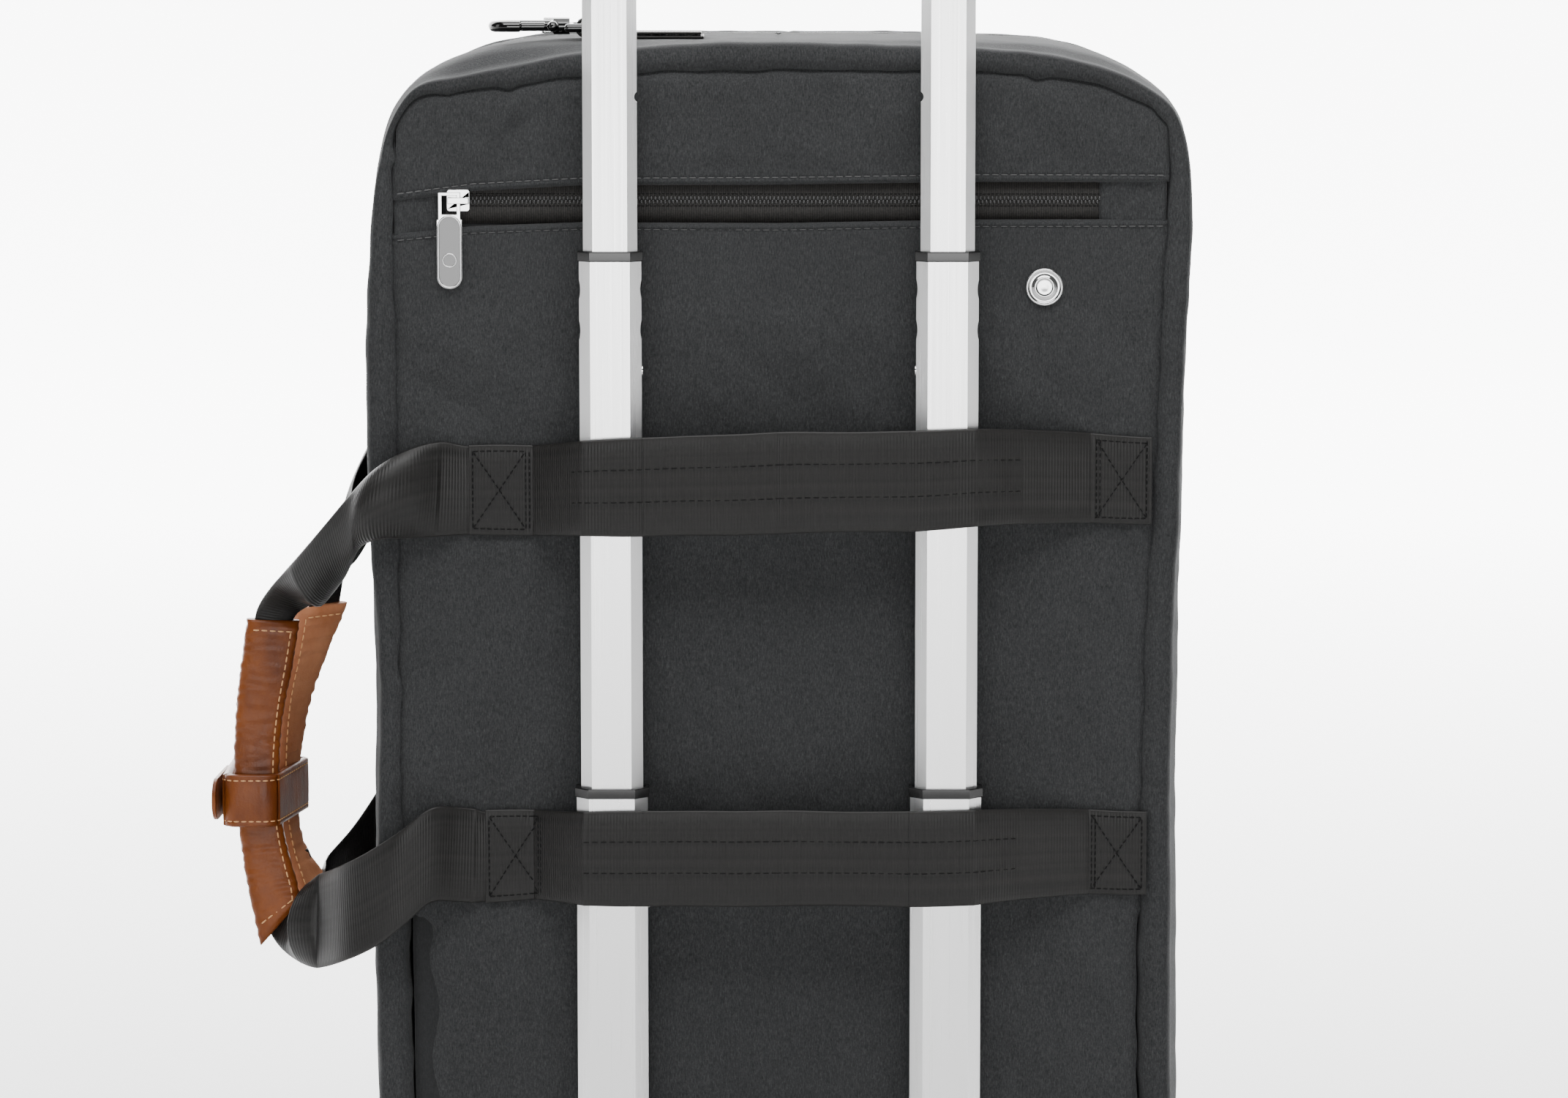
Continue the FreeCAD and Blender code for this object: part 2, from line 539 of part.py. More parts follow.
def stage_tube(stage, side):
    """One hollow tube with its lock hole, second lock hole and the dimples below its collar."""
    x = side * TUBE_X
    low, high = TUBE_BOTTOMS[stage], TUBE_TOPS[stage]
    if stage == 3:
        high = GRIP_BOTTOM + TUBE_IN_GRIP
    tube = tube_bar(stage, 0, x, low, high).cut(tube_bar(stage, -TUBE_WALL, x, low - PAST, high + PAST))
    half = TUBE_WIDTHS[stage] / 2
    inwards = -side
    if stage < 3:
        for below in (PIN_BELOW_COLLAR, INDEX_HOLE_BELOW):
            z = high + COLLAR_HEIGHT - below
            tube = tube.cut(wall_drill(x + inwards * half, z, PIN_RADIUS + PIN_GAP))
        for below in DIMPLES_BELOW:
            z = high + COLLAR_HEIGHT - below
            for face in (-1, 1):
                reach = x + face * (half + DIMPLE_RADIUS - DIMPLE_DEPTH)
                near, far = TUBE_Y - TUBE_WIDTHS[0], TUBE_Y + TUBE_WIDTHS[0]
                tube = tube.cut(rod((reach, near, z), (reach, far, z), DIMPLE_RADIUS))
    if stage > 0:
        z = TUBE_TOPS[stage - 1] + COLLAR_HEIGHT - PIN_BELOW_COLLAR
        tube = tube.cut(wall_drill(x + inwards * half, z, PIN_RADIUS + 3 * PIN_GAP))
    return tube


def stage_collars(stage):
    """The pair of plastic collars in the tops of a stage's tubes, which the next stage runs in."""
    rings = []
    for side in SIDES.values():
        x = side * TUBE_X
        top = TUBE_TOPS[stage]
        rim = tube_bar(stage, COLLAR_RIM, x, top, top + COLLAR_HEIGHT)
        rim = rim.makeFillet(COLLAR_ROUND, [e for e in rim.Edges if e.BoundBox.ZLength < TOUCH])
        lip = tube_bar(stage, -TUBE_WALL, x, top - COLLAR_LIP, top)
        bore = tube_bar(stage + 1, SLIDE_GAP, x, top - COLLAR_LIP - PAST, top + COLLAR_HEIGHT + PAST)
        ring_shape = rim.fuse(lip).cut(bore)
        if stage < 2:
            ring_shape = ring_shape.cut(pin_groove(stage, side))
        rings.append(ring_shape.removeSplitter())
    return Part.makeCompound(rings)


def pin_groove(stage, side):
    """Groove down the inside of a collar, which lets the next stage's lock pin pass."""
    face = TUBE_WIDTHS[stage + 1] / 2
    inwards = -side
    near = side * TUBE_X + inwards * face
    x = sorted((near - inwards * (PIN_SEAT + PIN_GAP), near + inwards * (pin_stand(stage + 1) + PIN_GAP)))
    half = PIN_RADIUS + PIN_GAP
    z = (TUBE_TOPS[stage] - COLLAR_LIP - PAST, TUBE_TOPS[stage] + COLLAR_HEIGHT + PAST)
    return box(x, (TUBE_Y - half, TUBE_Y + half), z)


def stage_bushes(stage):
    """The pair of nylon bushes on the lower ends of a stage, which run inside the stage below."""
    rings = []
    for side in SIDES.values():
        x = side * TUBE_X
        low = TUBE_BOTTOMS[stage]
        outer = tube_bar(stage - 1, -TUBE_WALL - BUSH_GAP, x, low, low + BUSH_HEIGHT)
        rings.append(outer.cut(tube_bar(stage, 0, x, low - PAST, low + BUSH_HEIGHT + PAST)))
    return Part.makeCompound(rings)


def pin_stand(stage):
    """A pin's dome stands out as far as the next larger tube leaves room for it."""
    if stage == 0:
        return PIN_STAND
    return TUBE_WIDTHS[stage - 1] / 2 - TUBE_WALL - TUBE_WIDTHS[stage] / 2 - PIN_GAP


def lock_pin(stage, side):
    """A domed spring pin in the wall of one tube, facing the other tube."""
    inwards = -side
    wall = side * TUBE_X + inwards * TUBE_WIDTHS[stage] / 2
    z = TUBE_TOPS[stage] + COLLAR_HEIGHT - PIN_BELOW_COLLAR
    rise = pin_stand(stage) / 2
    reach = wall + inwards * rise
    shank = rod((wall - inwards * PIN_SEAT, TUBE_Y, z), (reach, TUBE_Y, z), PIN_RADIUS)
    ball = (PIN_RADIUS ** 2 + rise ** 2) / (2 * rise)
    dome = Part.makeSphere(ball, V(wall + inwards * (2 * rise - ball), TUBE_Y, z))
    around = PIN_RADIUS * 2
    length = sorted((reach, reach + inwards * around))
    cap = box(length, (TUBE_Y - around, TUBE_Y + around), (z - around, z + around))
    return shank.fuse(dome.common(cap)).removeSplitter()


def release_rods():
    """The rods inside the top tubes that carry the button's push down to the locks."""
    rods = []
    for side in SIDES.values():
        x = side * TUBE_X
        ends = (TUBE_BOTTOMS[3] + ROD_INSIDE, GRIP_BOTTOM + ROD_IN_GRIP)
        rods.append(rod((x, TUBE_Y, ends[0]), (x, TUBE_Y, ends[1]), ROD_RADIUS))
    return Part.makeCompound(rods)


# ---------------------------------------------------------------- handle grip


def round_bar(length, depth, z0, z1):
    """A bar across the two tubes, with round ends in plan."""
    half, r = length / 2, depth / 2
    mid = box((-half + r, half - r), (TUBE_Y - r, TUBE_Y + r), (z0, z1))
    return fuse([mid] + [Part.makeCylinder(r, z1 - z0, V(s * (half - r), TUBE_Y, z0)) for s in (-1, 1)])


def grip_length():
    """The grip covers both tubes and a little more."""
    return TUBE_SPACING + TUBE_WIDTHS[3] + 2 * GRIP_END


def grip_core(z0, z1):
    """The space inside the grip, between the tubes, that the release bar moves in."""
    reach = TUBE_X - TUBE_WIDTHS[3] / 2 - GRIP_WALL
    deep = GRIP_DEPTH / 2 - GRIP_WALL
    return box((-reach, reach), (TUBE_Y - deep, TUBE_Y + deep), (z0, z1))


def grip_lower():
    """Lower half of the grip, with the two seats for the tubes."""
    half = round_bar(grip_length(), GRIP_DEPTH, GRIP_BOTTOM, GRIP_JOIN)
    half = half.makeFillet(GRIP_DEPTH / 4, [e for e in half.Edges if e.BoundBox.ZMax < GRIP_BOTTOM + TOUCH])
    for side in SIDES.values():
        half = half.cut(tube_bar(3, 0, side * TUBE_X, GRIP_BOTTOM - PAST, GRIP_JOIN + PAST))
    return half.cut(grip_core(GRIP_BOTTOM + GRIP_SKIN, GRIP_JOIN + PAST))


def grip_upper():
    """Upper half of the grip, hollow, with the button's window."""
    half = round_bar(grip_length(), GRIP_DEPTH, GRIP_JOIN, GRIP_TOP)
    half = half.makeFillet(GRIP_DEPTH / 3, [e for e in half.Edges if e.BoundBox.ZMin > GRIP_TOP - TOUCH])
    half = half.cut(grip_core(GRIP_JOIN - PAST, GRIP_TOP - GRIP_SKIN))
    for side in SIDES.values():
        half = half.cut(tube_bar(3, 0, side * TUBE_X, GRIP_JOIN - PAST, GRIP_BOTTOM + TUBE_IN_GRIP))
    around = 2 * BUTTON_GAP
    window = round_bar(BUTTON_LENGTH + around, BUTTON_DEPTH + around, GRIP_JOIN, GRIP_TOP + PAST)
    return half.cut(window)


def release_button():
    """Push button in the top of the grip, with a flange that keeps it in."""
    top = GRIP_TOP + BUTTON_STAND
    under_roof = GRIP_TOP - GRIP_SKIN - BUTTON_GAP
    cap = round_bar(BUTTON_LENGTH, BUTTON_DEPTH, under_roof - BUTTON_FLANGE, top)
    cap = cap.makeFillet(BUTTON_DEPTH / 4, [e for e in cap.Edges if e.BoundBox.ZMin > top - TOUCH])
    flange = round_bar(BUTTON_LENGTH + 2 * BUTTON_FLANGE, BUTTON_DEPTH + 2 * BUTTON_FLANGE,
                       under_roof - BUTTON_FLANGE, under_roof)
    return cap.fuse(flange).removeSplitter()


# ---------------------------------------------------------------- bag, body


def gusset():
    """The padded wall round the main compartment, with the roll round its back edge."""
    roll = ring(0, ROLL, BACK - ROLL_STAND, BACK - ROLL_STAND + ROLL_DEPTH)
    roll = roll.makeFillet(ROLL_ROUND, [e for e in roll.Edges if e.BoundBox.YMax < BACK - ROLL_STAND + TOUCH])
    wall = ring(0, WALL, BACK - ROLL_STAND + ROLL_DEPTH, ZIP_Y)
    return roll.fuse(wall).removeSplitter()


def back_panel():
    """Foam-filled back panel inside the roll, with the channel for the pocket zip."""
    panel = plate(ROLL, BACK + FABRIC, BACK + FABRIC + BACK_FOAM)
    channel = box((ZIP_LEFT - CHANNEL_END, ZIP_RIGHT + CHANNEL_END), (BACK, BACK + ZIP_RECESS),
                  (POCKET_ZIP_Z - ZIP_TAPE_WIDTH / 2, POCKET_ZIP_Z + ZIP_TAPE_WIDTH / 2))
    return panel.cut(channel)


def pocket_panel():
    """Outer layer below the pocket zip, narrower lower down, where the strap slots are."""
    panel = plate(ROLL, BACK, BACK + FABRIC)
    through = (BACK - PAST, BACK + FABRIC + PAST)
    below = box((-HALF, HALF), through, (BAG_BOTTOM, POCKET_ZIP_Z - ZIP_OPENING / 2))
    panel = panel.common(below)
    slot_top = BAG_TOP - SLOT_TOP_BELOW
    for side in SIDES.values():
        edge = side * (PANEL_HALF - SLOT_INSET)
        x = sorted((edge, side * HALF))
        panel = panel.cut(box(x, (BACK - PAST, BACK + FABRIC + PAST), (BAG_BOTTOM + SLOT_BOTTOM, slot_top)))
    return panel


def back_yoke():
    """Outer layer above the pocket zip."""
    panel = plate(ROLL, BACK, BACK + FABRIC)
    above = box((-HALF, HALF), (BACK - PAST, BACK + FABRIC + PAST), (POCKET_ZIP_Z + ZIP_OPENING / 2, BAG_TOP))
    return panel.common(above)


def pocket_zip():
    """Tape of the pocket zip with the closed coil along its middle."""
    y = BACK + ZIP_RECESS
    half = ZIP_TAPE_WIDTH / 2
    tape = box((ZIP_LEFT, ZIP_RIGHT), (y - TAPE, y), (POCKET_ZIP_Z - half, POCKET_ZIP_Z + half))
    coil = box((ZIP_LEFT, ZIP_RIGHT), (y - TAPE - COIL_HEIGHT, y - TAPE),
               (POCKET_ZIP_Z - COIL_WIDTH / 2, POCKET_ZIP_Z + COIL_WIDTH / 2))
    return tape.fuse(coil).removeSplitter()


def slider_leg_x():
    """The pull hangs on the slider's left leg."""
    return SLIDER_START - SLIDER_LENGTH / 2 + LEG_INSET


def pocket_slider():
    """Zip slider that straddles the coil, with the arch its pull hangs on."""
    base = BACK + ZIP_RECESS - TAPE
    low = base - SLIDER_GAP
    top = BACK - SLIDER_STAND
    half_l, half_w = SLIDER_LENGTH / 2, SLIDER_WIDTH / 2
    x, z = SLIDER_START, POCKET_ZIP_Z
    body = box((x - half_l, x + half_l), (top, low), (z - half_w, z + half_w))
    body = body.makeFillet(ROUND_EDGE, [e for e in body.Edges if e.BoundBox.YLength > 1])
    coil_side = COIL_WIDTH / 2 + COIL_SIDE
    throat = box((x - half_l - PAST, x + half_l + PAST), (base - COIL_HEIGHT - SLIDER_GAP, low + PAST),
                 (z - coil_side, z + coil_side))
    bar_low = top - POCKET_ARCH
    bar = (bar_low - LEG, bar_low)
    across = (z - LEG, z + LEG)
    left = slider_leg_x() - LEG / 2
    right = x + half_l - RIGHT_LEG_INSET
    arch = [box((left, left + LEG), (bar_low, top), across),
            box((right - LEG, right), (bar_low, top), across),
            box((left, right), bar, across)]
    return fuse([body.cut(throat)] + arch)


def pocket_pull():
    """Long metal pull with a round end, which hangs on the slider's arch by its window."""
    face = BACK - SLIDER_STAND - SLIDER_GAP
    plate_y = (face - PULL_PLATE, face)
    x, z = slider_leg_x(), POCKET_ZIP_Z
    r = PULL_WIDTH / 2
    low = z + PULL_ABOVE - PULL_LENGTH
    neck = r - PULL_STEP
    upper = box((x - neck, x + neck), plate_y, (z - PULL_SHOULDER, z + PULL_ABOVE))
    lower = box((x - r, x + r), plate_y, (low + r, z - PULL_SHOULDER + PULL_STEP))
    tip = Part.makeCylinder(r, PULL_PLATE, V(x, face - PULL_PLATE, low + r), V(0, 1, 0))
    side = r - PULL_FRAME
    hole_z = (z + PULL_WINDOW[0], z + PULL_WINDOW[1])
    window = box((x - side, x + side), (face - PULL_PLATE - PAST, face + PAST), hole_z)
    return fuse([upper, lower, tip]).cut(window)


def stud():
    """Round metal cap riveted to the pocket panel."""
    z = BAG_TOP - STUD_BELOW_TOP
    ball = (STUD_RADIUS ** 2 + STUD_RISE ** 2) / (2 * STUD_RISE)
    seat = BACK - STUD_RIM / 2
    dome = Part.makeSphere(ball, V(STUD_X, seat - STUD_RISE + ball, z))
    dome = dome.common(rod((STUD_X, seat - 2 * STUD_RISE, z), (STUD_X, seat, z), STUD_RADIUS + PAST))
    rim = rod((STUD_X, BACK - STUD_RIM, z), (STUD_X, BACK, z), STUD_RADIUS)
    return dome.fuse(rim).removeSplitter()


def band(centre):
    """Webbing band across the back, sewn down at both ends and standing off over the tubes."""
    low = BACK - WEBBING_THICK / 2
    high = BAND_INNER - WEBBING_THICK / 2
    path = [(PATCH_LEFT[0], low), (PATCH_LEFT[1], low), (-BAND_FLAT, high), (BAND_FLAT, high),
            (PATCH_RIGHT[0], low), (PATCH_RIGHT[1], low)]
    return strip(path, WEBBING_THICK, centre - WEBBING / 2, centre + WEBBING / 2)


def strap_bend(x, y, z, offsets, across):
    """One section of a free strap: its two edges, and the direction of its thickness."""
    return (x + offsets[0], y, z + offsets[2]), (x + offsets[1], y, z + offsets[3]), across


def rear_straps():
    """The two free lengths of webbing from the back patches to the rear leather grip."""
    low, high = BAND_CENTRES
    half = WEBBING / 2
    start, y = PATCH_LEFT[0], BACK - WEBBING_THICK / 2
    grip_top, grip_low = grip_ends()
    edge, grip_y, grip_x = -HALF, BACK + REAR_GRIP_Y, REAR_GRIP_X
    patch = (0, 0, half, -half)
    up = [strap_bend(start, y, high, patch, STRAP_FLAT),
          strap_bend(edge, BACK - STRAP_CLEAR, high, UP_OVER_ROLL, STRAP_FLAT),
          strap_bend(edge, BACK, high, UP_PAST_EDGE, STRAP_TWIST),
          strap_bend(grip_x, grip_y, grip_top + STRAP_END_GAP, UP_AT_GRIP, STRAP_FLAT)]
    down = [strap_bend(start, y, low, patch, STRAP_FLAT),
            strap_bend(edge, BACK - STRAP_CLEAR, low, LOW_OVER_ROLL, STRAP_FLAT),
            strap_bend(edge, BACK, low, LOW_PAST_EDGE, STRAP_TWIST),
            strap_bend(grip_x, grip_y - LOW_TURN_BACK, low, LOW_TURN, STRAP_TWIST),
            strap_bend(grip_x, grip_y, grip_low - STRAP_END_GAP, LOW_AT_GRIP, STRAP_FLAT)]
    return Part.makeCompound([webbing_loft(up, WEBBING_THICK), webbing_loft(down, WEBBING_THICK)])


def grip_ends():
    """Top and bottom of the leather grips: they hang a little below the middle of the bands."""
    return GRIP_MIDDLE + GRIP_HALF_LENGTH, GRIP_MIDDLE - GRIP_HALF_LENGTH


def front_straps():
    """The front handle's two free lengths of webbing, from patches sewn on the side wall."""
    low, high = BAND_CENTRES
    half = WEBBING / 2
    grip_top, grip_low = grip_ends()
    wall = -HALF - WEBBING_THICK / 2
    y0, y1 = (BACK + d for d in PATCH_DEPTH)
    x, y = FRONT_GRIP_X, BACK + FRONT_GRIP_Y
    straps = []
    ends = ((high, grip_top + FRONT_GRIP_TOP + STRAP_END_GAP, x + FRONT_LEAN),
            (low, grip_low + FRONT_GRIP_LOW - STRAP_END_GAP, x))
    out_top, out_low = FRONT_SWING
    for z, end, end_x in ends:
        drop = z - FRONT_DROP
        straps.append(webbing_loft([
            ((wall, y1, z + half), (wall, y1, z - half), (1, 0, 0)),
            ((wall, y0, z + half), (wall, y0, z - half), (1, 0, 0)),
            ((wall - out_top, y0 - STRAP_CLEAR, drop + half), (wall - out_low, y0 - STRAP_CLEAR, drop - half),
             FRONT_TWIST),
            ((end_x, y + FRONT_END, end), (end_x, y - FRONT_END, end), FRONT_LIE)], WEBBING_THICK))
    return Part.makeCompound(straps)


def body_zip_tape():
    """Main zip's tape on the body side."""
    return ring(ZIP_INSET, ZIP_INSET + ZIP_THICK, ZIP_Y, ZIP_Y + ZIP_WIDTH / 2 - ZIP_MEETING)


def main_slider_place():
    """Middle of the main slider, on top of the zip, where the top's straight run starts."""
    return -HALF + TOP_CORNER + MAIN_SLIDER / 2 + 2.0, ZIP_Y + ZIP_WIDTH / 2, BAG_TOP - ZIP_INSET + SLIDER_GAP


def main_slider():
    """Slider of the main zip, with the arch that its pull hangs on."""
    x, y, z = main_slider_place()
    half, deep = MAIN_SLIDER / 2, MAIN_SLIDER * SLIDER_DEPTH
    body = box((x - half, x + half), (y - deep, y + deep), (z, z + ARCH_FOOT))
    body = body.makeFillet(ROUND_EDGE, [e for e in body.Edges if e.BoundBox.ZLength > 1])
    legs = [box((x + s * half * 0.75 - LEG / 2, x + s * half * 0.75 + LEG / 2), (y - LEG, y + LEG),
                (z + ARCH_FOOT, z + ARCH_BAR)) for s in (-1, 1)]
    bar = box((x - half * 0.75 - LEG / 2, x + half * 0.75 + LEG / 2), (y - LEG, y + LEG),
              (z + ARCH_BAR, z + ARCH_BAR + LEG))
    return fuse([body, bar] + legs)


def main_pull():
    """Flat pull that lies along the top of the bag, with its cross bar inside the slider's arch."""
    x, y, z = main_slider_place()
    mid = z + (ARCH_FOOT + ARCH_BAR) / 2
    end = x - MAIN_SLIDER * PULL_END
    half = PULL_THICK / 2
    pull = box((end - MAIN_PULL, end), (y - PULL_HALF, y + PULL_HALF), (mid - half, mid + half))
    tip = [e for e in pull.Edges if e.BoundBox.ZLength > half and e.BoundBox.XMax < x - MAIN_SLIDER]
    pull = pull.makeFillet(PULL_HALF * PULL_ROUND, tip)
    side = PULL_HALF - PULL_FRAME
    window = box((end - LEG - MAIN_SLIDER / 2, end - LEG), (y - side, y + side), (mid - PAST, mid + PAST))
    return pull.cut(window)


# ---------------------------------------------------------------- strap and hook on top


def hook_axis():
    """x and z of the strap loop that the hook's eye turns in."""
    return HOOK_LEFT + HOOK_LENGTH + HOOK_EYE, BAG_TOP + LOOP_RADIUS + HOOK_CLEAR / 2


def top_strap():
    """Narrow strap sewn along the top, folded round the hook's eye at its left end."""
    x, z = hook_axis()
    half = TOP_STRAP_WIDTH / 2
    y0, y1 = BACK + HOOK_Y - half, BACK + HOOK_Y + half
    two_layers = (BAG_TOP, BAG_TOP + 2 * WEBBING_THICK)
    flat = box((x, TOP_STRAP_END), (y0, y1), two_layers)
    outer = Part.makeCylinder(LOOP_RADIUS, y1 - y0, V(x, y0, z), V(0, 1, 0))
    inner = Part.makeCylinder(LOOP_BORE, y1 - y0 + 2 * PAST, V(x, y0 - PAST, z), V(0, 1, 0))
    return fuse([flat, outer]).cut(inner)


def wire_frame(points, radius):
    """A bent rod through a closed list of corners, with round corners."""
    bars = [rod(a, b, radius) for a, b in zip(points, points[1:] + points[:1])]
    return bars + [Part.makeSphere(radius, V(*a)) for a in points]


def hook_middle():
    """Half width of the hook between the middles of its two sides, and the height it lies at."""
    return HOOK_WIDTH / 2 - HOOK_ROD, hook_axis()[1] + HOOK_CLEAR


def snap_hook():
    """Cast hook with a swivel barrel and the eye the strap goes through."""
    x, z = hook_axis()
    y = BACK + HOOK_Y
    w, mid = hook_middle()
    nose_x = HOOK_LEFT + HOOK_ROD + w
    right = HOOK_LEFT + HOOK_LENGTH
    around = 2 * HOOK_WIDTH
    nose = Part.makeTorus(w, HOOK_ROD, V(nose_x, y, mid), V(0, 0, 1)).common(
        box((nose_x - around, nose_x), (y - around, y + around), (mid - around, mid + around)))
    barrel = rod((right, y, mid), (right + HOOK_EYE / 2, y, mid), HOOK_ROD * BARREL)
    bars = [nose, barrel,
            rod((nose_x, y + w, mid), (right, y + w, mid), HOOK_ROD),
            rod((nose_x, y - w, mid), (nose_x + HOOK_ROD * 2, y - w, mid), HOOK_ROD),
            rod((right, y - w, mid), (right, y + w, mid), HOOK_ROD),
            Part.makeSphere(HOOK_ROD, V(right, y + w, mid)), Part.makeSphere(HOOK_ROD, V(right, y - w, mid))]
    half = TOP_STRAP_WIDTH / 2 + 2 * EYE_ROD
    eye_x = x - LOOP_RADIUS - EYE_ROD - HOOK_CLEAR
    eye = [(eye_x, y - half, z), (eye_x, y + half, z), (x, y + half, z), (x, y - half, z)]
    return fuse(bars + wire_frame(eye, EYE_ROD))


def hook_gate():
    """Spring gate that closes the hook's open side."""
    w, mid = hook_middle()
    y = BACK + HOOK_Y
    left = HOOK_LEFT + HOOK_ROD + w + HOOK_ROD * 2 + NOSE_GAP
    right = HOOK_LEFT + HOOK_LENGTH - HOOK_ROD - GATE_GAP
    return rod((left, y - w, mid), (right, y - w, mid), HOOK_ROD * GATE_ROD)


# ---------------------------------------------------------------- carry handle


def leather_grip(x, y, across, through, lean, low, top):
    """A leather sleeve that bows outwards, lofted through rounded sections from its lower end to its top."""
    wires = []
    for i in range(GRIP_STEPS + 1):
        t = i / GRIP_STEPS
        z = low + (top - low) * t
        middle = x - GRIP_BOW * math.sin(math.pi * t) + lean * t
        points = []
        for k in range(GRIP_AROUND):
            a = 2 * math.pi * k / GRIP_AROUND
            c, s = math.cos(a), math.sin(a)
            points.append(V(middle + across / 2 * math.copysign(abs(c) ** GRIP_SQUARE, c),
                            BACK + y + through / 2 * math.copysign(abs(s) ** GRIP_SQUARE, s), z))
        wires.append(Part.makePolygon(points + points[:1]))
    return Part.makeLoft(wires, True, True)


def rear_grip():
    """Leather grip of the handle sewn to the back."""
    top, low = grip_ends()
    return leather_grip(REAR_GRIP_X, REAR_GRIP_Y, GRIP_WIDTH, GRIP_LEATHER, 0, low, top)


def front_grip():
    """Leather grip of the handle sewn to the side wall, turned so that its edge faces the tubes."""
    top, low = grip_ends()
    return leather_grip(FRONT_GRIP_X, FRONT_GRIP_Y, GRIP_LEATHER, GRIP_WIDTH, FRONT_LEAN,
                        low + FRONT_GRIP_LOW, top + FRONT_GRIP_TOP)


def keeper_frame():
    """Plan of the keeper: x and y limits of the space it encloses."""
    x0 = REAR_GRIP_X - GRIP_BOW - GRIP_WIDTH / 2 - KEEPER_GAP
    x1 = FRONT_GRIP_X + FRONT_LEAN / 2 - GRIP_BOW + GRIP_LEATHER / 2 + KEEPER_GAP
    y0 = BACK + REAR_GRIP_Y - GRIP_LEATHER / 2 - KEEPER_GAP
    y1 = BACK + FRONT_GRIP_Y + GRIP_WIDTH / 2 + KEEPER_GAP
    return (x0, x1), (y0, y1)


def keeper():
    """Leather band that holds the two grips together."""
    (x0, x1), (y0, y1) = keeper_frame()
    z = (KEEPER_Z - KEEPER_HEIGHT / 2, KEEPER_Z + KEEPER_HEIGHT / 2)
    t = KEEPER_WALL
    outer = box((x0 - t, x1 + t), (y0 - t, y1 + t), z)
    outer = outer.makeFillet(KEEPER_ROUND, [e for e in outer.Edges if e.BoundBox.ZLength > KEEPER_WALL])
    inner = box((x0, x1), (y0, y1), (z[0] - PAST, z[1] + PAST))
    upright = [e for e in inner.Edges if e.BoundBox.ZLength > KEEPER_WALL]
    inner = inner.makeFillet(KEEPER_ROUND - KEEPER_WALL, upright)
    return outer.cut(inner)


def tab_hinge():
    """x and y of the line the keeper's tab folds about."""
    (x0, _), (_, y1) = keeper_frame()
    return x0 - KEEPER_WALL - TAB_GAP, y1 - TAB_INSET


def keeper_tab():
    """Round-ended tab over the keeper's outer side, with its snap fastener."""
    hx, hy = tab_hinge()
    r = TAB_WIDTH / 2
    end = hy - TAB_LENGTH + r
    flat = box((hx - TAB_THICK, hx), (end, hy), (KEEPER_Z - r, KEEPER_Z + r))
    tip = Part.makeCylinder(r, TAB_THICK, V(hx - TAB_THICK, end, KEEPER_Z), V(1, 0, 0))
    seat = V(hx - TAB_THICK - SNAP_STAND, end + SNAP_RADIUS, KEEPER_Z)
    snap = Part.makeCylinder(SNAP_RADIUS, SNAP_STAND, seat, V(1, 0, 0))
    tab = fuse([flat, tip, snap])
    tab.rotate(V(hx, hy, 0), V(0, 0, 1), -TAB_LIFT)
    return tab


# ---------------------------------------------------------------- lid


def lid_gusset():
    """The lid's wall, with the roll round its front edge."""
    roll = ring(0, ROLL, FRONT - ROLL_DEPTH + ROLL_STAND, FRONT + ROLL_STAND)
    edges = [e for e in roll.Edges if e.BoundBox.YMin > FRONT + ROLL_STAND - TOUCH]
    roll = roll.makeFillet(ROLL_ROUND, edges)
    wall = ring(0, WALL, LID_Y, FRONT - ROLL_DEPTH + ROLL_STAND)
    return roll.fuse(wall).removeSplitter()


def front_panel():
    """Padded front panel of the lid."""
    return plate(ROLL, FRONT - WALL, FRONT)


def lid_zip_tape():
    """Main zip's tape on the lid side."""
    return ring(ZIP_INSET, ZIP_INSET + ZIP_THICK, LID_Y - ZIP_WIDTH / 2 + ZIP_MEETING, LID_Y)


# ---------------------------------------------------------------- every sub-part by name


def all_parts():
    """Every node of the model, by name."""
    parts = {
        "base_tray": base_tray(), "axles": axles(), "front_foot": front_foot(), "foot_pad": foot_pad(),
        "base_screws": screw_set(),
        "top_bushes": stage_bushes(3), "release_rods": release_rods(),
        "grip_lower": grip_lower(), "grip_upper": grip_upper(), "release_button": release_button(),
        "gusset": gusset(), "back_panel": back_panel(), "pocket_panel": pocket_panel(),
        "back_yoke": back_yoke(), "pocket_zip": pocket_zip(),
        "pocket_slider": pocket_slider(), "pocket_pull": pocket_pull(), "stud": stud(),
        "lower_band": band(BAND_CENTRES[0]), "upper_band": band(BAND_CENTRES[1]),
        "rear_straps": rear_straps(), "front_straps": front_straps(),
        "body_zip_tape": body_zip_tape(), "main_slider": main_slider(), "main_pull": main_pull(),
        "top_strap": top_strap(), "snap_hook": snap_hook(), "hook_gate": hook_gate(),
        "rear_grip": rear_grip(), "front_grip": front_grip(), "keeper": keeper(), "keeper_tab": keeper_tab(),
        "lid_gusset": lid_gusset(), "front_panel": front_panel(), "lid_zip_tape": lid_zip_tape(),
    }
    names = ("outer", "second", "third", "top")
    for stage, name in enumerate(names):
        for word, side in SIDES.items():
            parts[f"{name}_tube_{word}"] = stage_tube(stage, side)
            if stage < 3:
                parts[f"{name}_lock_pin_{word}"] = lock_pin(stage, side)
        if stage < 3:
            parts[f"{name}_collars"] = stage_collars(stage)
        if 0 < stage < 3:
            parts[f"{name}_bushes"] = stage_bushes(stage)
    for word, side in SIDES.items():
        parts[f"wheel_housing_{word}"] = wheel_housing(side)
        parts[f"wheel_tyre_{word}"] = wheel_tyre(side)
        parts[f"wheel_hub_{word}"] = wheel_hub(side)
    return parts


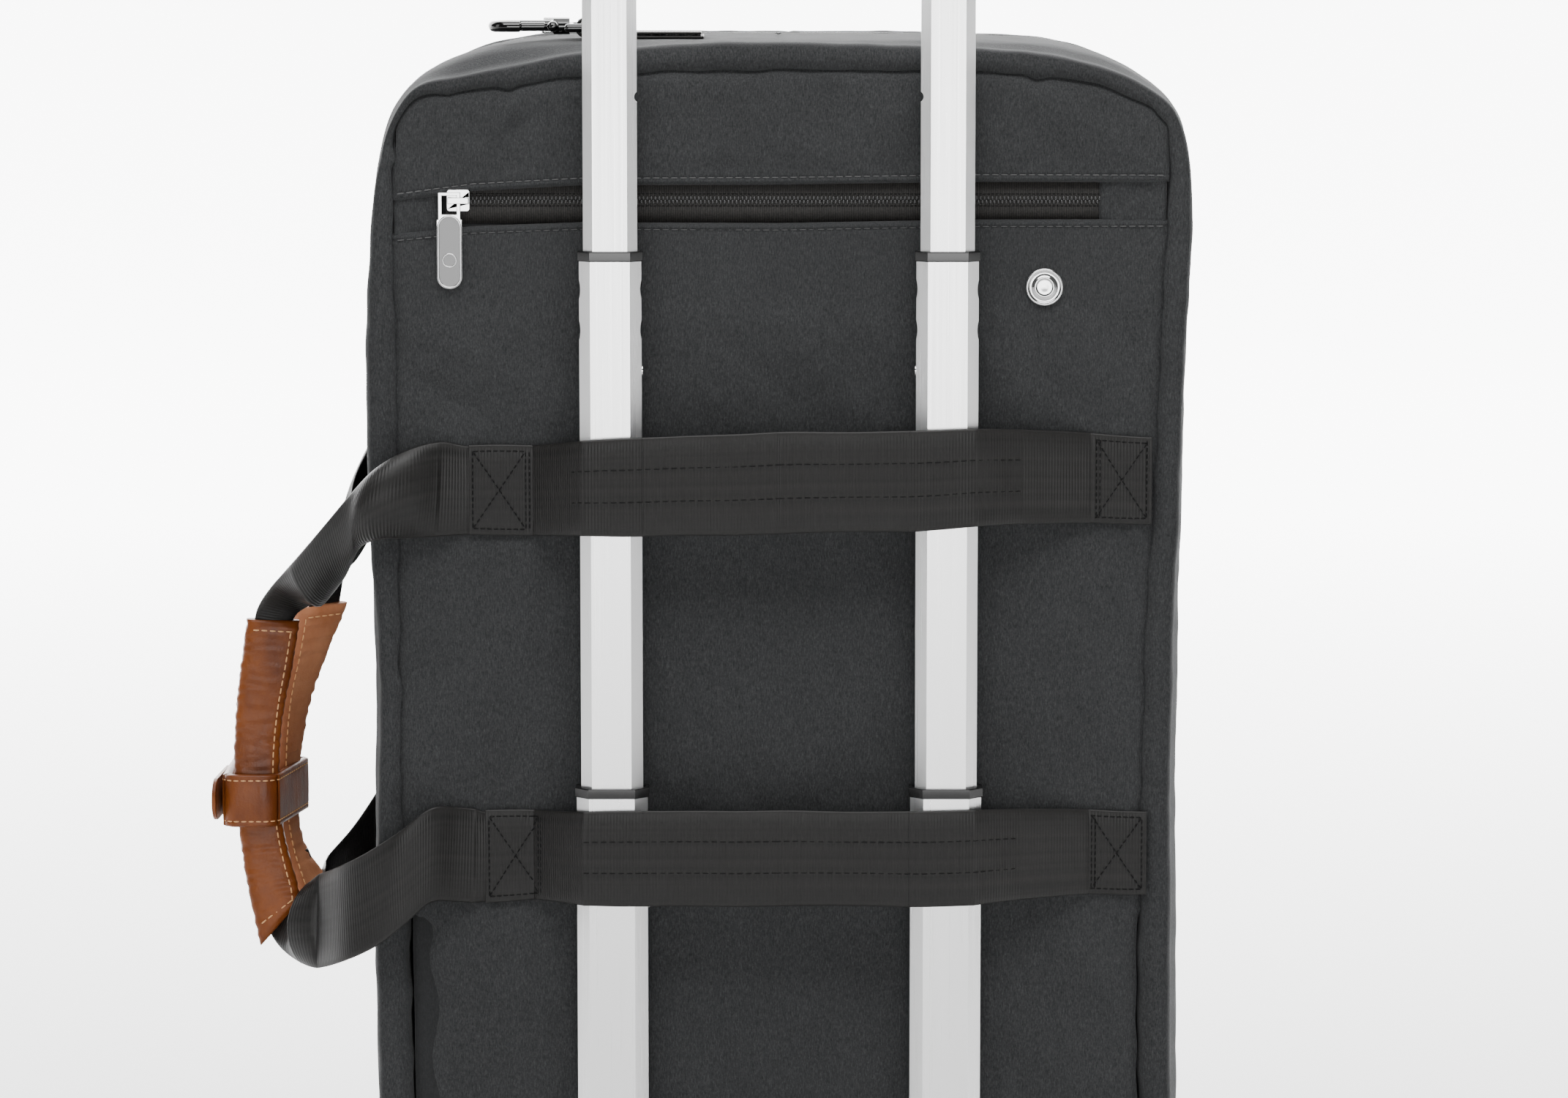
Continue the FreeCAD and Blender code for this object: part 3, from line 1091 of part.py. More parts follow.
def main():
    os.makedirs("parts", exist_ok=True)
    for name, shape in sorted(all_parts().items()):
        solids = shape.Solids
        if not solids or not shape.isValid():
            raise ValueError(f"{name} isn't a valid closed solid")
        whole = solids[0] if len(solids) == 1 else Part.makeCompound(solids)
        whole.exportStep(f"parts/{name}.step")
        print(name, len(solids), round(sum(s.Volume for s in solids)))


main()
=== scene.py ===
# %% [markdown]
# # A rolling flight bag
#
# The bag hangs on a two-wheeled trolley with a telescoping handle. The hard parts come from a CAD frame that
# already moves at its joints. This script adds cloth, webbing, leather, zips and finishes around that frame.
# Everything is in metres: X to the right, Y from the trolley tubes through the bag, Z up.

# %% Load the frame
import json
import math

import bmesh
import bpy
import numpy as np
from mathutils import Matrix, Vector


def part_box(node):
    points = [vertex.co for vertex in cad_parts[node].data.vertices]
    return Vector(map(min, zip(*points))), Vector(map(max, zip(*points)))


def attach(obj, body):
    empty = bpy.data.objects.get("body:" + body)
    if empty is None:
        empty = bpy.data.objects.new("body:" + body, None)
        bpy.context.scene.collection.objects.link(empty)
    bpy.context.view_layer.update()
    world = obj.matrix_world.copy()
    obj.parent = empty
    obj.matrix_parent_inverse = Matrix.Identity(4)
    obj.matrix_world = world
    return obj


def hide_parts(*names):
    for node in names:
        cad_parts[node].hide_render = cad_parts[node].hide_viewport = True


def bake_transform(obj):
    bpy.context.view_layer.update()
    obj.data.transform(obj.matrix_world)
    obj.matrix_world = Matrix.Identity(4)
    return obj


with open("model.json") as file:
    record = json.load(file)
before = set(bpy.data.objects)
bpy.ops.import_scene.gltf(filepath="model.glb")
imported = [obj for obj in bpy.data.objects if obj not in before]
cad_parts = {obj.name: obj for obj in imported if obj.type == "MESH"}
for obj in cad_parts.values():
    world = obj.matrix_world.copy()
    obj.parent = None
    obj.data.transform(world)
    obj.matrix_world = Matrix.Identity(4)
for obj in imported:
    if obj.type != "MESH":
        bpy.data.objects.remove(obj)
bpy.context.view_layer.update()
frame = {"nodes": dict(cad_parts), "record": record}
MM = 0.001
TAU = 2 * math.pi

# %% [markdown]
# ## Tools for meshes
#
# Cloth pieces are grids of points worked out with formulas. One way to model them is to push vertices by hand;
# formulas keep every edge adjustable, so that is the way used here. A few small functions turn a grid into a
# mesh, close its ends and point its normals outwards.

# %% Mesh tools


def make_mesh(name, points, faces, material, fields=None):
    """One object from an (n, 3) table of points in mm and a list of (m, k) tables of vertex numbers."""
    mesh = bpy.data.meshes.new(name)
    points = np.asarray(points, float).reshape(-1, 3) * MM
    loops = np.concatenate([np.asarray(f).ravel() for f in faces])
    sizes = np.concatenate([np.full(len(f), np.asarray(f).shape[1]) for f in faces])
    mesh.vertices.add(len(points))
    mesh.vertices.foreach_set("co", points.ravel())
    mesh.loops.add(len(loops))
    mesh.loops.foreach_set("vertex_index", loops.astype(np.int32))
    mesh.polygons.add(len(sizes))
    mesh.polygons.foreach_set("loop_start", (np.cumsum(sizes) - sizes).astype(np.int32))
    mesh.update(calc_edges=True)
    mesh.validate()
    for field, values in (fields or {}).items():
        made = mesh.attributes.new(field, "FLOAT", "POINT")
        made.data.foreach_set("value", np.asarray(values, np.float32).ravel())
    obj = bpy.data.objects.new(name, mesh)
    bpy.context.scene.collection.objects.link(obj)
    mesh.materials.append(material)
    outward(obj)
    return obj


def outward(obj):
    """Turns every closed part's normals outwards and shades it smooth."""
    work = bmesh.new()
    work.from_mesh(obj.data)
    bmesh.ops.recalc_face_normals(work, faces=work.faces)
    work.to_mesh(obj.data)
    work.free()
    obj.data.shade_smooth()


def wrap_faces(rows, around, closed=False):
    """Quads that join `rows` closed loops of `around` points, and two end caps unless the rows close too."""
    i = np.arange(rows if closed else rows - 1)[:, None]
    j = np.arange(around)[None]
    a, b = i * around + j, i * around + (j + 1) % around
    step = (i + 1) % rows
    quads = np.stack([a, b, step * around + (j + 1) % around, step * around + j], -1).reshape(-1, 4)
    if closed:
        return [quads]
    loop = np.arange(around)[None]
    return [quads, loop[:, ::-1], (rows - 1) * around + loop]


def slab_faces(rows, columns):
    """Quads of two stacked grids, front then back, with the four sides closed."""
    i, j = np.meshgrid(np.arange(rows - 1), np.arange(columns - 1), indexing="ij")
    a = (i * columns + j).ravel()
    front = np.stack([a, a + 1, a + columns + 1, a + columns], -1)
    back = front[:, ::-1] + rows * columns
    grid = np.arange(rows * columns).reshape(rows, columns)
    rim = np.concatenate([grid[0, :-1], grid[:-1, -1], grid[-1, :0:-1], grid[:0:-1, 0]])
    after = np.roll(rim, -1)
    side = np.stack([rim, after, after + rows * columns, rim + rows * columns], -1)
    return [front, back, side]


def spline(knots, count, closed=False, by=None):
    """Catmull-Rom curve through the knots, resampled at even steps of length.

    p(t) = P1 + t(P2 - P0)/2 + t²(2P0 - 5P1 + 4P2 - P3)/2 + t³(3P1 - P0 - 3P2 + P3)/2
    """
    p = np.asarray(knots, float)
    p = np.concatenate([p[-1:], p, p[:2]]) if closed else np.concatenate([2 * p[:1] - p[1:2], p, 2 * p[-1:] - p[-2:-1]])
    p0, p1, p2, p3 = p[:-3, None], p[1:-2, None], p[2:-1, None], p[3:, None]
    t = np.linspace(0, 1, 24, endpoint=False)[None, :, None]
    curve = p1 + t * (p2 - p0) / 2 + t**2 * (2 * p0 - 5 * p1 + 4 * p2 - p3) / 2 + t**3 * (3 * p1 - p0 - 3 * p2 + p3) / 2
    curve = np.concatenate([curve.reshape(-1, p.shape[1]), p[-2:-1]])
    part = curve if by is None else curve[:, by]
    along = np.concatenate([[0], np.cumsum(np.linalg.norm(np.diff(part, axis=0), axis=1))])
    want = np.linspace(0, along[-1], count + 1)[:-1] if closed else np.linspace(0, along[-1], count)
    return np.stack([np.interp(want, along, c) for c in curve.T], -1)


def ripple(points, size, seed, count=12):
    """Smooth noise between about -1 and 1: Σ sin(k·p + φ) / √(n/2), where |k| is near 2π/size."""
    rng = np.random.default_rng(seed)
    points = np.asarray(points, float)
    turn = rng.normal(size=(count, points.shape[-1]))
    turn /= np.linalg.norm(turn, axis=1, keepdims=True)
    wave = turn * TAU / size * rng.uniform(0.6, 1.5, (count, 1))
    return np.sin(points @ wave.T + rng.uniform(0, TAU, count)).sum(-1) / math.sqrt(count / 2) / 1.6


def step(x, low, high):
    """Smoothstep 3t² - 2t³ with t = (x - low) / (high - low), held to 0..1."""
    t = np.clip((np.asarray(x, float) - low) / (high - low), 0, 1)
    return t * t * (3 - 2 * t)


def unit(v):
    """Each vector divided by its length."""
    return v / np.maximum(np.linalg.norm(v, axis=-1, keepdims=True), 1e-9)


# %% [markdown]
# Straps, grips and bands are all ribbons between two edge curves. Where the edges come closer together than the
# webbing is wide, the ribbon has to bulge, so its section is an arc whose chord is that distance.
# The same description then gives any point on the surface, which is where the stitches go.

# %% Ribbons


def chord_angle(ratio):
    """Arc angle φ whose chord over its length is sin(φ/2) / (φ/2) = ratio."""
    angles = np.linspace(1e-4, 5.0, 400)
    ratios = np.sin(angles / 2) / (angles / 2)
    return np.interp(-np.clip(ratio, 0.1, 0.99999), -ratios, angles)


class Ribbon:
    """A strip between edge curves a and b (n, 3), facing `hint`, of arc width `width` or else flat."""

    def __init__(self, a, b, hint, width=None):
        self.middle = (a + b) / 2
        self.across = unit(a - b)
        self.chord = np.linalg.norm(a - b, axis=1)
        self.along = unit(np.gradient(self.middle, axis=0))
        self.normal = unit(np.cross(self.along, self.across))
        self.normal *= np.sign((self.normal @ np.asarray(hint, float)))[:, None]
        self.width = self.chord if width is None else np.broadcast_to(width, len(a))
        self.angle = chord_angle(self.chord / self.width)
        self.length = np.concatenate([[0], np.cumsum(np.linalg.norm(np.diff(self.middle, axis=0), axis=1))])

    def at(self, row, q, lift=0.0):
        """Point at a fractional row and a place q in -1..1 across, raised by lift.

        P = C + c ρ sin α + n ρ (cos α - cos φ/2) + lift (n cos α + c sin α), with ρ = w/φ and α = qφ/2
        """
        row = np.asarray(row, float)
        number = np.arange(len(self.middle))
        pick = lambda table: np.stack([np.interp(row, number, c) for c in table.T], -1)
        middle, across, normal = pick(self.middle), unit(pick(self.across)), unit(pick(self.normal))
        angle, width = np.interp(row, number, self.angle), np.interp(row, number, self.width)
        alpha = q * angle / 2
        radius = width / angle
        sin, cos = np.sin(alpha)[..., None], np.cos(alpha)[..., None]
        bulge = (radius * (np.cos(alpha) - np.cos(angle / 2)))[..., None]
        lift = np.broadcast_to(lift, alpha.shape)[..., None]
        return middle + across * radius[..., None] * sin + normal * bulge + lift * (normal * cos + across * sin)

    def row_of(self, length):
        """Fractional row at a length along the ribbon."""
        return np.interp(length, self.length, np.arange(len(self.length)))


def weave(name, ribbon, material, thick=1.6, pitch=1.25, rib=0.12, samples=13, shape=10.0, crumple=0.0):
    """Closed webbing mesh: half thickness h(q) = t/2 (1 - |q|^shape)^½, plus ribs r sin(2πs/pitch)."""
    rows = len(ribbon.middle)
    q = np.sin(np.linspace(-1, 1, samples) * math.pi / 2)
    q = np.concatenate([q, q[::-1]])
    side = np.concatenate([np.ones(samples), -np.ones(samples)])
    half = thick / 2 * (1 - np.abs(q) ** shape * 0.9) ** 0.5
    ribs = rib * np.sin(TAU * ribbon.length / pitch)[:, None] * (1 - np.abs(q) ** 6)
    row = np.repeat(np.arange(rows)[:, None], len(q), 1)
    base = ribbon.at(row, np.broadcast_to(q, row.shape), (half + ribs) * side)
    if crumple:
        base = base + ribbon.normal[:, None] * ripple(base, 16, 5)[..., None] * crumple
    fields = {"along": np.repeat(ribbon.length[:, None], len(q), 1) * MM, "across": np.broadcast_to(q, row.shape)}
    return make_mesh(name, base, wrap_faces(rows, len(q)), material, fields)


def stitches(name, points, normals, material, pitch=3.2, length=2.3, radius=0.28):
    """A row of thread capsules along a polyline: each is a six-sided rod with rounded ends, laid on the surface."""
    points, normals = np.asarray(points, float), unit(np.asarray(normals, float))
    along = np.concatenate([[0], np.cumsum(np.linalg.norm(np.diff(points, axis=0), axis=1))])
    middle = np.arange(pitch / 2, along[-1], pitch)
    sample = lambda table, at: np.stack([np.interp(at, along, c) for c in table.T], -1)
    centre, up = sample(points, middle), unit(sample(normals, middle))
    ahead = unit(sample(points, middle + 0.2) - sample(points, middle - 0.2))
    side = np.cross(up, ahead)
    rings = np.array([(-0.5, 0.25), (-0.42, 0.8), (0.0, 1.0), (0.42, 0.8), (0.5, 0.25)])
    angle = np.arange(6) * TAU / 6
    u = rings[:, 0, None] * length
    wide, high = rings[:, 1, None] * np.cos(angle) * radius, rings[:, 1, None] * np.sin(angle) * radius
    sink = -0.35 * radius * np.abs(rings[:, 0, None] * 2) ** 2
    shape = (u[None, ..., None] * ahead[:, None, None] + wide[None, ..., None] * side[:, None, None]
             + (high + sink)[None, ..., None] * up[:, None, None]) + centre[:, None, None]
    one = wrap_faces(5, 6)
    many = [(f[None] + 30 * np.arange(len(middle))[:, None, None]).reshape(-1, f.shape[1]) for f in one]
    return make_mesh(name, shape, many, material)


def boxes(name, centres, axes, sizes, material):
    """Small eight-cornered blocks with tapered tops, for zip teeth. axes is (n, 3, 3) or (3, 3), sizes in mm."""
    corner = np.array([(x, y, z) for z in (-1, 1) for y in (-1, 1) for x in (-1, 1)], float) / 2
    corner[4:, :2] *= 0.7
    local = corner[None] * np.asarray(sizes, float)
    axes = np.broadcast_to(axes, (len(centres), 3, 3))
    points = centres[:, None] + np.einsum("nij,njk->nik", np.broadcast_to(local, (len(centres), 8, 3)), axes)
    quad = np.array([(0, 2, 3, 1), (4, 5, 7, 6), (0, 1, 5, 4), (2, 6, 7, 3), (0, 4, 6, 2), (1, 3, 7, 5)])
    faces = (quad[None] + 8 * np.arange(len(centres))[:, None, None]).reshape(-1, 4)
    return make_mesh(name, points, [faces], material)


def lathe(name, profile, centre, axis, up, material, around=40):
    """A turned piece: (radius, height) pairs spun about an axis through centre."""
    axis, up = unit(np.asarray(axis, float)), unit(np.asarray(up, float))
    side = np.cross(axis, up)
    angle = np.arange(around) * TAU / around
    ring = np.cos(angle)[:, None] * up + np.sin(angle)[:, None] * side
    profile = np.asarray(profile, float)
    points = np.asarray(centre) + profile[:, 0, None, None] * ring + profile[:, 1, None, None] * axis
    return make_mesh(name, points, wrap_faces(len(profile), around), material)


def bevelled(name, nodes, material, body, width=0.4, segments=2, angle=32):
    """A merged copy of CAD nodes with softened edges, which stands in for them."""
    work = bmesh.new()
    for node in nodes:
        work.from_mesh(frame["nodes"][node].data)
    bmesh.ops.remove_doubles(work, verts=work.verts, dist=2e-6)
    bmesh.ops.dissolve_limit(work, angle_limit=math.radians(0.6), verts=work.verts, edges=work.edges)
    mesh = bpy.data.meshes.new(name)
    work.to_mesh(mesh)
    work.free()
    mesh.materials.clear()
    mesh.materials.append(material)
    obj = bpy.data.objects.new(name, mesh)
    bpy.context.scene.collection.objects.link(obj)
    mesh.shade_smooth()
    if "custom_normal" in mesh.attributes:
        mesh.attributes.remove(mesh.attributes["custom_normal"])
    bevel = obj.modifiers.new("soft edges", "BEVEL")
    bevel.width = width * MM
    bevel.segments = segments
    bevel.limit_method = "ANGLE"
    bevel.angle_limit = math.radians(angle)
    bevel.harden_normals = True
    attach(obj, body)
    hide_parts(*nodes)
    return obj


print("tools ready")

# %% [markdown]
# ## Materials
#
# Every material is worked out from noise in the object's own coordinates, so nothing needs unwrapping and the
# pattern stays put when a joint moves. The bag's cloth is a heather: dark yarn with pale flecks that run with
# the warp, so its noise is stretched upwards. Webbing gets its ribs from the mesh and only its weave from noise.

# %% Material tools


class Shader:
    """A Principled material and short ways to add nodes to it."""

    def __init__(self, name, color, rough=0.5, **constants):
        self.material = bpy.data.materials.new(name)
        self.material.use_nodes = True
        self.tree = self.material.node_tree
        self.main = self.tree.nodes["Principled BSDF"]
        self.set("Base Color", (*color, 1.0))
        self.set("Roughness", rough)
        for socket, value in constants.items():
            self.set(socket.replace("_", " ").capitalize() if socket != "ior" else "IOR", value)
        self.material.diffuse_color = (*color, 1.0)

    def set(self, socket, value):
        match = [s for s in self.main.inputs if s.name.lower() == socket.lower()][0]
        match.default_value = value

    def node(self, kind, **values):
        made = self.tree.nodes.new(kind)
        for key, value in values.items():
            setattr(made, key, value)
        return made

    def join(self, source, target):
        self.tree.links.new(source, target)
        return target

    def noise(self, scale, detail=2.0, rough=0.5, source="Object"):
        """Noise value whose cells are 1/scale metres along each axis."""
        where = self.node("ShaderNodeTexCoord").outputs[source]
        mapping = self.node("ShaderNodeMapping")
        mapping.inputs["Scale"].default_value = scale
        self.join(where, mapping.inputs["Vector"])
        noise = self.node("ShaderNodeTexNoise")
        noise.inputs["Scale"].default_value = 1.0
        noise.inputs["Detail"].default_value = detail
        noise.inputs["Roughness"].default_value = rough
        self.join(mapping.outputs[0], noise.inputs["Vector"])
        return noise.outputs["Fac"]

    def math(self, kind, a, b=0.0, c=0.0):
        made = self.node("ShaderNodeMath", operation=kind)
        for place, value in enumerate((a, b, c)):
            if isinstance(value, (int, float)):
                made.inputs[place].default_value = value
            else:
                self.join(value, made.inputs[place])
        return made.outputs[0]

    def field(self, name):
        return self.node("ShaderNodeAttribute", attribute_name=name).outputs["Fac"]

    def ramp(self, value, stops):
        made = self.node("ShaderNodeValToRGB")
        while len(made.color_ramp.elements) < len(stops):
            made.color_ramp.elements.new(0.5)
        for element, (place, color) in zip(made.color_ramp.elements, stops):
            element.position = place
            element.color = (*color, 1.0)
        self.join(value, made.inputs[0])
        return made.outputs["Color"]

    def bump(self, value, strength, distance):
        made = self.node("ShaderNodeBump")
        made.inputs["Strength"].default_value = strength
        made.inputs["Distance"].default_value = distance
        self.join(value, made.inputs["Height"])
        if self.main.inputs["Normal"].is_linked:
            self.join(self.main.inputs["Normal"].links[0].from_socket, made.inputs["Normal"])
        self.join(made.outputs[0], self.main.inputs["Normal"])

    def color(self, value):
        self.join(value, self.main.inputs["Base Color"])

    def rough(self, value):
        self.join(value, self.main.inputs["Roughness"])


def grey(v, warm=0.0):
    """A near-neutral colour; warm shifts red up and blue down."""
    return (v * (1 + warm), v, v * (1 - warm))


# %% [markdown]
# The cloth's flecks come from two noises: one about half a millimetre wide and three long for the yarn, and one
# broader for the cloudy patches that a washed heather has. A faint fine-noise bump stands for the weave.

# %% Cloth materials


def cloth(name, dark, light, warm=-0.03):
    """Heathered weave."""
    s = Shader(name, grey((dark + light) / 2, warm), 0.95, sheen_weight=0.06, sheen_roughness=0.5, specular_ior_level=0.15)
    yarn = s.noise((2300, 2300, 520), 2.0, 0.6)
    fleck = s.noise((1500, 1500, 1300), 2.0, 0.6)
    cloud = s.noise((28, 28, 18), 3.0, 0.55)
    mixed = s.math("MULTIPLY_ADD", yarn, 0.55, s.math("MULTIPLY_ADD", fleck, 0.35, s.math("MULTIPLY", cloud, 0.1)))
    s.color(s.ramp(mixed, [(0.3, grey(dark, warm)), (0.52, grey((dark * 1.4 + light) / 2.4, warm)), (0.74, grey(light, warm))]))
    s.bump(s.noise((1400, 1400, 900), 2.0, 0.6), 0.35, 0.0004)
    return s.material


FABRIC = cloth("fabric", 0.015, 0.058)
LINING = cloth("lining", 0.016, 0.03)


def webbing():
    """Ribbed black webbing: slightly glossy, with faint stripes along its length."""
    s = Shader("webbing", grey(0.014, 0.05), 0.5, specular_ior_level=0.32, sheen_weight=0.02)
    stripe = s.noise((1, 1, 1), 1.0, 0.5)
    s.tree.nodes.remove([n for n in s.tree.nodes if n.type == "TEX_COORD"][-1])
    join = s.node("ShaderNodeCombineXYZ")
    s.join(s.math("MULTIPLY", s.field("across"), 7.0), join.inputs[1])
    s.join(s.math("MULTIPLY", s.field("along"), 1.5), join.inputs[0])
    mapping = [n for n in s.tree.nodes if n.type == "MAPPING"][-1]
    s.join(join.outputs[0], mapping.inputs["Vector"])
    grain = s.noise((1400, 1400, 1400), 2.0, 0.6)
    mixed = s.math("MULTIPLY_ADD", stripe, 0.7, s.math("MULTIPLY", grain, 0.3))
    s.color(s.ramp(mixed, [(0.35, grey(0.0035, 0.08)), (0.65, grey(0.0105, 0.07))]))
    s.rough(s.math("MULTIPLY_ADD", stripe, 0.3, 0.3))
    s.bump(grain, 0.2, 0.0002)
    return s.material


WEBBING = webbing()


def zip_cloth():
    """Brown-black tape with fine ribs along the zip: wave of 0.9 mm pitch in the field `along`."""
    s = Shader("zip_tape", grey(0.013, 0.1), 0.7)
    wave = s.math("SINE", s.math("MULTIPLY", s.field("along"), TAU / 0.0009))
    grain = s.noise((1600, 1600, 1600), 2.0)
    s.color(s.ramp(s.math("MULTIPLY_ADD", wave, 0.18, grain), [(0.35, grey(0.006, 0.1)), (0.75, grey(0.026, 0.1))]))
    s.bump(wave, 0.35, 0.0002)
    return s.material


TAPE = zip_cloth()
COIL = Shader("zip_coil", grey(0.03), 0.28, specular_ior_level=0.6).material
THREAD = Shader("thread_grey", grey(0.075), 0.7, sheen_weight=0.1).material
THREAD_BLACK = Shader("thread_black", grey(0.002), 0.6, specular_ior_level=0.2).material
THREAD_TAN = Shader("thread_tan", (0.62, 0.33, 0.14), 0.6).material

# %% [markdown]
# Leather has a pebbled grain (bump from a cell pattern), colour that varies in soft random clouds, and a thin wax that
# gives a soft highlight.

# %% Leather


def leather(name, dark, light, rough):
    s = Shader(name, light, rough, specular_ior_level=0.28)
    cloud = s.noise((70, 70, 40), 4.0, 0.6)
    s.color(s.ramp(cloud, [(0.3, dark), (0.7, light)]))
    cell = s.node("ShaderNodeTexVoronoi", feature="SMOOTH_F1")
    cell.inputs["Scale"].default_value = 1500
    s.join(s.node("ShaderNodeTexCoord").outputs["Object"], cell.inputs["Vector"])
    s.rough(s.math("MULTIPLY_ADD", cloud, 0.25, rough - 0.12))
    s.bump(cell.outputs["Distance"], 0.25, 0.0003)
    s.bump(s.noise((240, 240, 90), 3.0, 0.6), 0.35, 0.0008)
    return s.material


LEATHER = leather("leather", (0.085, 0.019, 0.003), (0.19, 0.05, 0.0075), 0.4)
LEATHER_INNER = leather("leather_inner", (0.36, 0.13, 0.055), (0.5, 0.22, 0.11), 0.55)

# %% [markdown]
# Metals and plastics are simple. The tubes are drawn aluminium, so their roughness varies in streaks along Z.

# %% Hard materials


def metal(name, color, rough, streak=0.0):
    s = Shader(name, color, rough, metallic=1.0)
    if streak:
        lines = s.noise((2200, 2200, 6), 2.0, 0.6)
        s.rough(s.math("MULTIPLY_ADD", lines, streak, rough - streak / 2))
        s.bump(lines, 0.06, 0.0002)
    return s.material


def plastic(name, color, rough, grain=0.0, **constants):
    s = Shader(name, color, rough, **constants)
    if grain:
        s.bump(s.noise((1800, 1800, 1800), 2.0, 0.6), grain, 0.0003)
        s.rough(s.math("MULTIPLY_ADD", s.noise((300, 300, 300), 3.0), 0.2, rough - 0.1))
    return s.material


FINISH = {
    "tray_plastic": plastic("tray_plastic", grey(0.02), 0.55, 0.3),
    "steel": metal("steel", grey(0.6), 0.3),
    "foot_rubber": plastic("foot_rubber", grey(0.014), 0.75, 0.2),
    "tyre_rubber": plastic("tyre_rubber", grey(0.016), 0.7, 0.2),
    "hub_plastic": plastic("hub_plastic", grey(0.11), 0.45, 0.2),
    "satin_aluminium": metal("satin_aluminium", grey(0.82), 0.3, 0.16),
    "collar_plastic": plastic("collar_plastic", grey(0.008), 0.22),
    "grip_plastic": plastic("grip_plastic", grey(0.018), 0.5, 0.25),
    "button_plastic": plastic("button_plastic", grey(0.1), 0.4),
    "lock_pin_metal": metal("lock_pin_metal", grey(0.7), 0.2),
    "bag_fabric": FABRIC,
    "zip_tape": TAPE,
    "chrome_hardware": metal("chrome_hardware", grey(0.58), 0.14),
    "black_webbing": WEBBING,
    "black_chrome": metal("black_chrome", grey(0.07), 0.12),
    "tan_leather": LEATHER,
}
for part in frame["record"]["subparts"]:
    mesh = frame["nodes"][part["node"]].data
    mesh.materials.clear()
    mesh.materials.append(FINISH[part["material_slot"]])

# %% [markdown]
# ## The trolley
#
# The CAD parts already have the right shapes. Sharp machine edges look false, so each one gets a merged copy with
# a small bevel. Bevelling the copy keeps the CAD mesh untouched for the physics.

# %% Trolley parts
HARD = [
    ("base_tray", "trolley", 0.9), ("wheel_housing_left", "trolley", 0.8), ("wheel_housing_right", "trolley", 0.8),
    ("front_foot", "trolley", 0.8), ("foot_pad", "trolley", 0.5), ("outer_collars", "trolley", 0.4),
    ("second_collars", "second_stage", 0.4), ("third_collars", "third_stage", 0.4),
    ("grip_lower", "top_stage", 1.0), ("grip_upper", "top_stage", 1.0), ("release_button", "release_button", 0.6),
    ("wheel_hub_left", "wheel_left", 0.5), ("wheel_hub_right", "wheel_right", 0.5),
    ("wheel_tyre_left", "wheel_left", 1.2), ("wheel_tyre_right", "wheel_right", 1.2),
    ("pocket_slider", "pocket_slider", 0.3), ("pocket_pull", "pocket_pull", 0.25),
    ("main_slider", "main_slider", 0.4), ("main_pull", "main_pull", 0.25),
    ("snap_hook", "hook", 0.3), ("hook_gate", "hook_gate", 0.3),
]
slot_of = {p["node"]: p["material_slot"] for p in frame["record"]["subparts"]}
for node, body, width in HARD:
    bevelled("soft_" + node, [node], FINISH[slot_of[node]], body, width)
print(len(HARD), "bevelled parts")

# %% [markdown]
# ## The bag's walls
#
# A padded roll runs round the back edge, and the wall goes on from it to the zip. Both are one closed section
# swept round the bag. Each row of the table below is a station on the way round: a point on the outer edge of the
# roll, one in the seam beside the back panel, and one on the wall behind. Reading left and right sides apart lets
# the soft bag lean and pinch a little, which a mirrored outline wouldn't.

# %% Outline
RIM = np.array([
    (0, 72, 0, 84, 0, 72), (60, 72, 60, 84, 60, 72), (110, 72.3, 110, 84, 118, 72), (132, 76, 128, 87, 138, 76),
    (147, 86, 138, 94, 150, 84), (155, 100, 143.5, 106, 159, 97), (157, 120, 145, 122, 161, 118),
    (157, 160, 145, 160, 160.5, 160), (156.6, 220, 144.6, 220, 160, 220), (156.3, 280, 144.6, 280, 159.5, 280),
    (156.8, 330, 145.5, 330, 160, 330), (158.2, 374, 147.6, 374, 160.5, 374), (159.8, 436, 150, 436, 161.5, 436),
    (162, 480, 151.6, 480, 162.6, 480), (162.6, 505, 152.8, 505, 162.6, 505), (161.3, 525, 153.8, 522, 161.6, 526),
    (159.2, 537, 153.6, 533, 159.3, 538), (155, 546, 152, 540.5, 155.2, 547), (149, 551.5, 146, 546.5, 149.5, 553),
    (138, 558, 137, 550.5, 139, 560), (125, 562.5, 125, 555, 125, 566), (103.6, 567.3, 104, 558.5, 103.6, 570.3),
    (76, 569.5, 78, 560, 76, 571.4), (40, 571, 40, 561, 40, 571.8), (0, 571.8, 0, 561, 0, 571.8),
    (-40, 571, -40, 560.3, -40, 571.8), (-79, 567.5, -79, 558, -79, 571.4), (-105, 562.5, -105, 554.8, -103, 570),
    (-123, 559, -122, 552.8, -121, 566.5), (-135.4, 557, -134, 552, -134, 561.5), (-143, 553.5, -142, 549.5, -143, 556),
    (-149, 546.5, -147.5, 544, -149.5, 549), (-153.5, 536.5, -150.5, 536, -154.5, 540), (-157.3, 523, -152.3, 524, -158, 527),
    (-160.3, 505, -152.5, 505, -160.6, 508), (-162.3, 470, -151.5, 470, -162.3, 470), (-163, 436, -151, 436, -163, 436),
    (-162, 374, -150.8, 374, -162.5, 374), (-159.5, 343, -150.5, 343, -162, 343), (-158.8, 312, -150.5, 312, -161.5, 312),
    (-159.8, 270, -150.5, 270, -162, 270), (-161, 219, -149, 219, -162.5, 219), (-160.5, 160, -148, 160, -162, 160),
    (-159.5, 120, -147, 122, -161, 118), (-157, 100, -145, 106, -159, 97), (-148, 86, -139, 94, -150, 84),
    (-132, 76, -128, 87, -138, 76), (-110, 72.3, -110, 84, -118, 72), (-60, 72, -60, 84, -60, 72),
])
SIDE_RISE = 0.5
around = spline(RIM, 760, closed=True, by=slice(0, 2))
OUTER, SEAM, WALL = around[:, 0:2].copy(), around[:, 2:4].copy(), around[:, 4:6].copy()


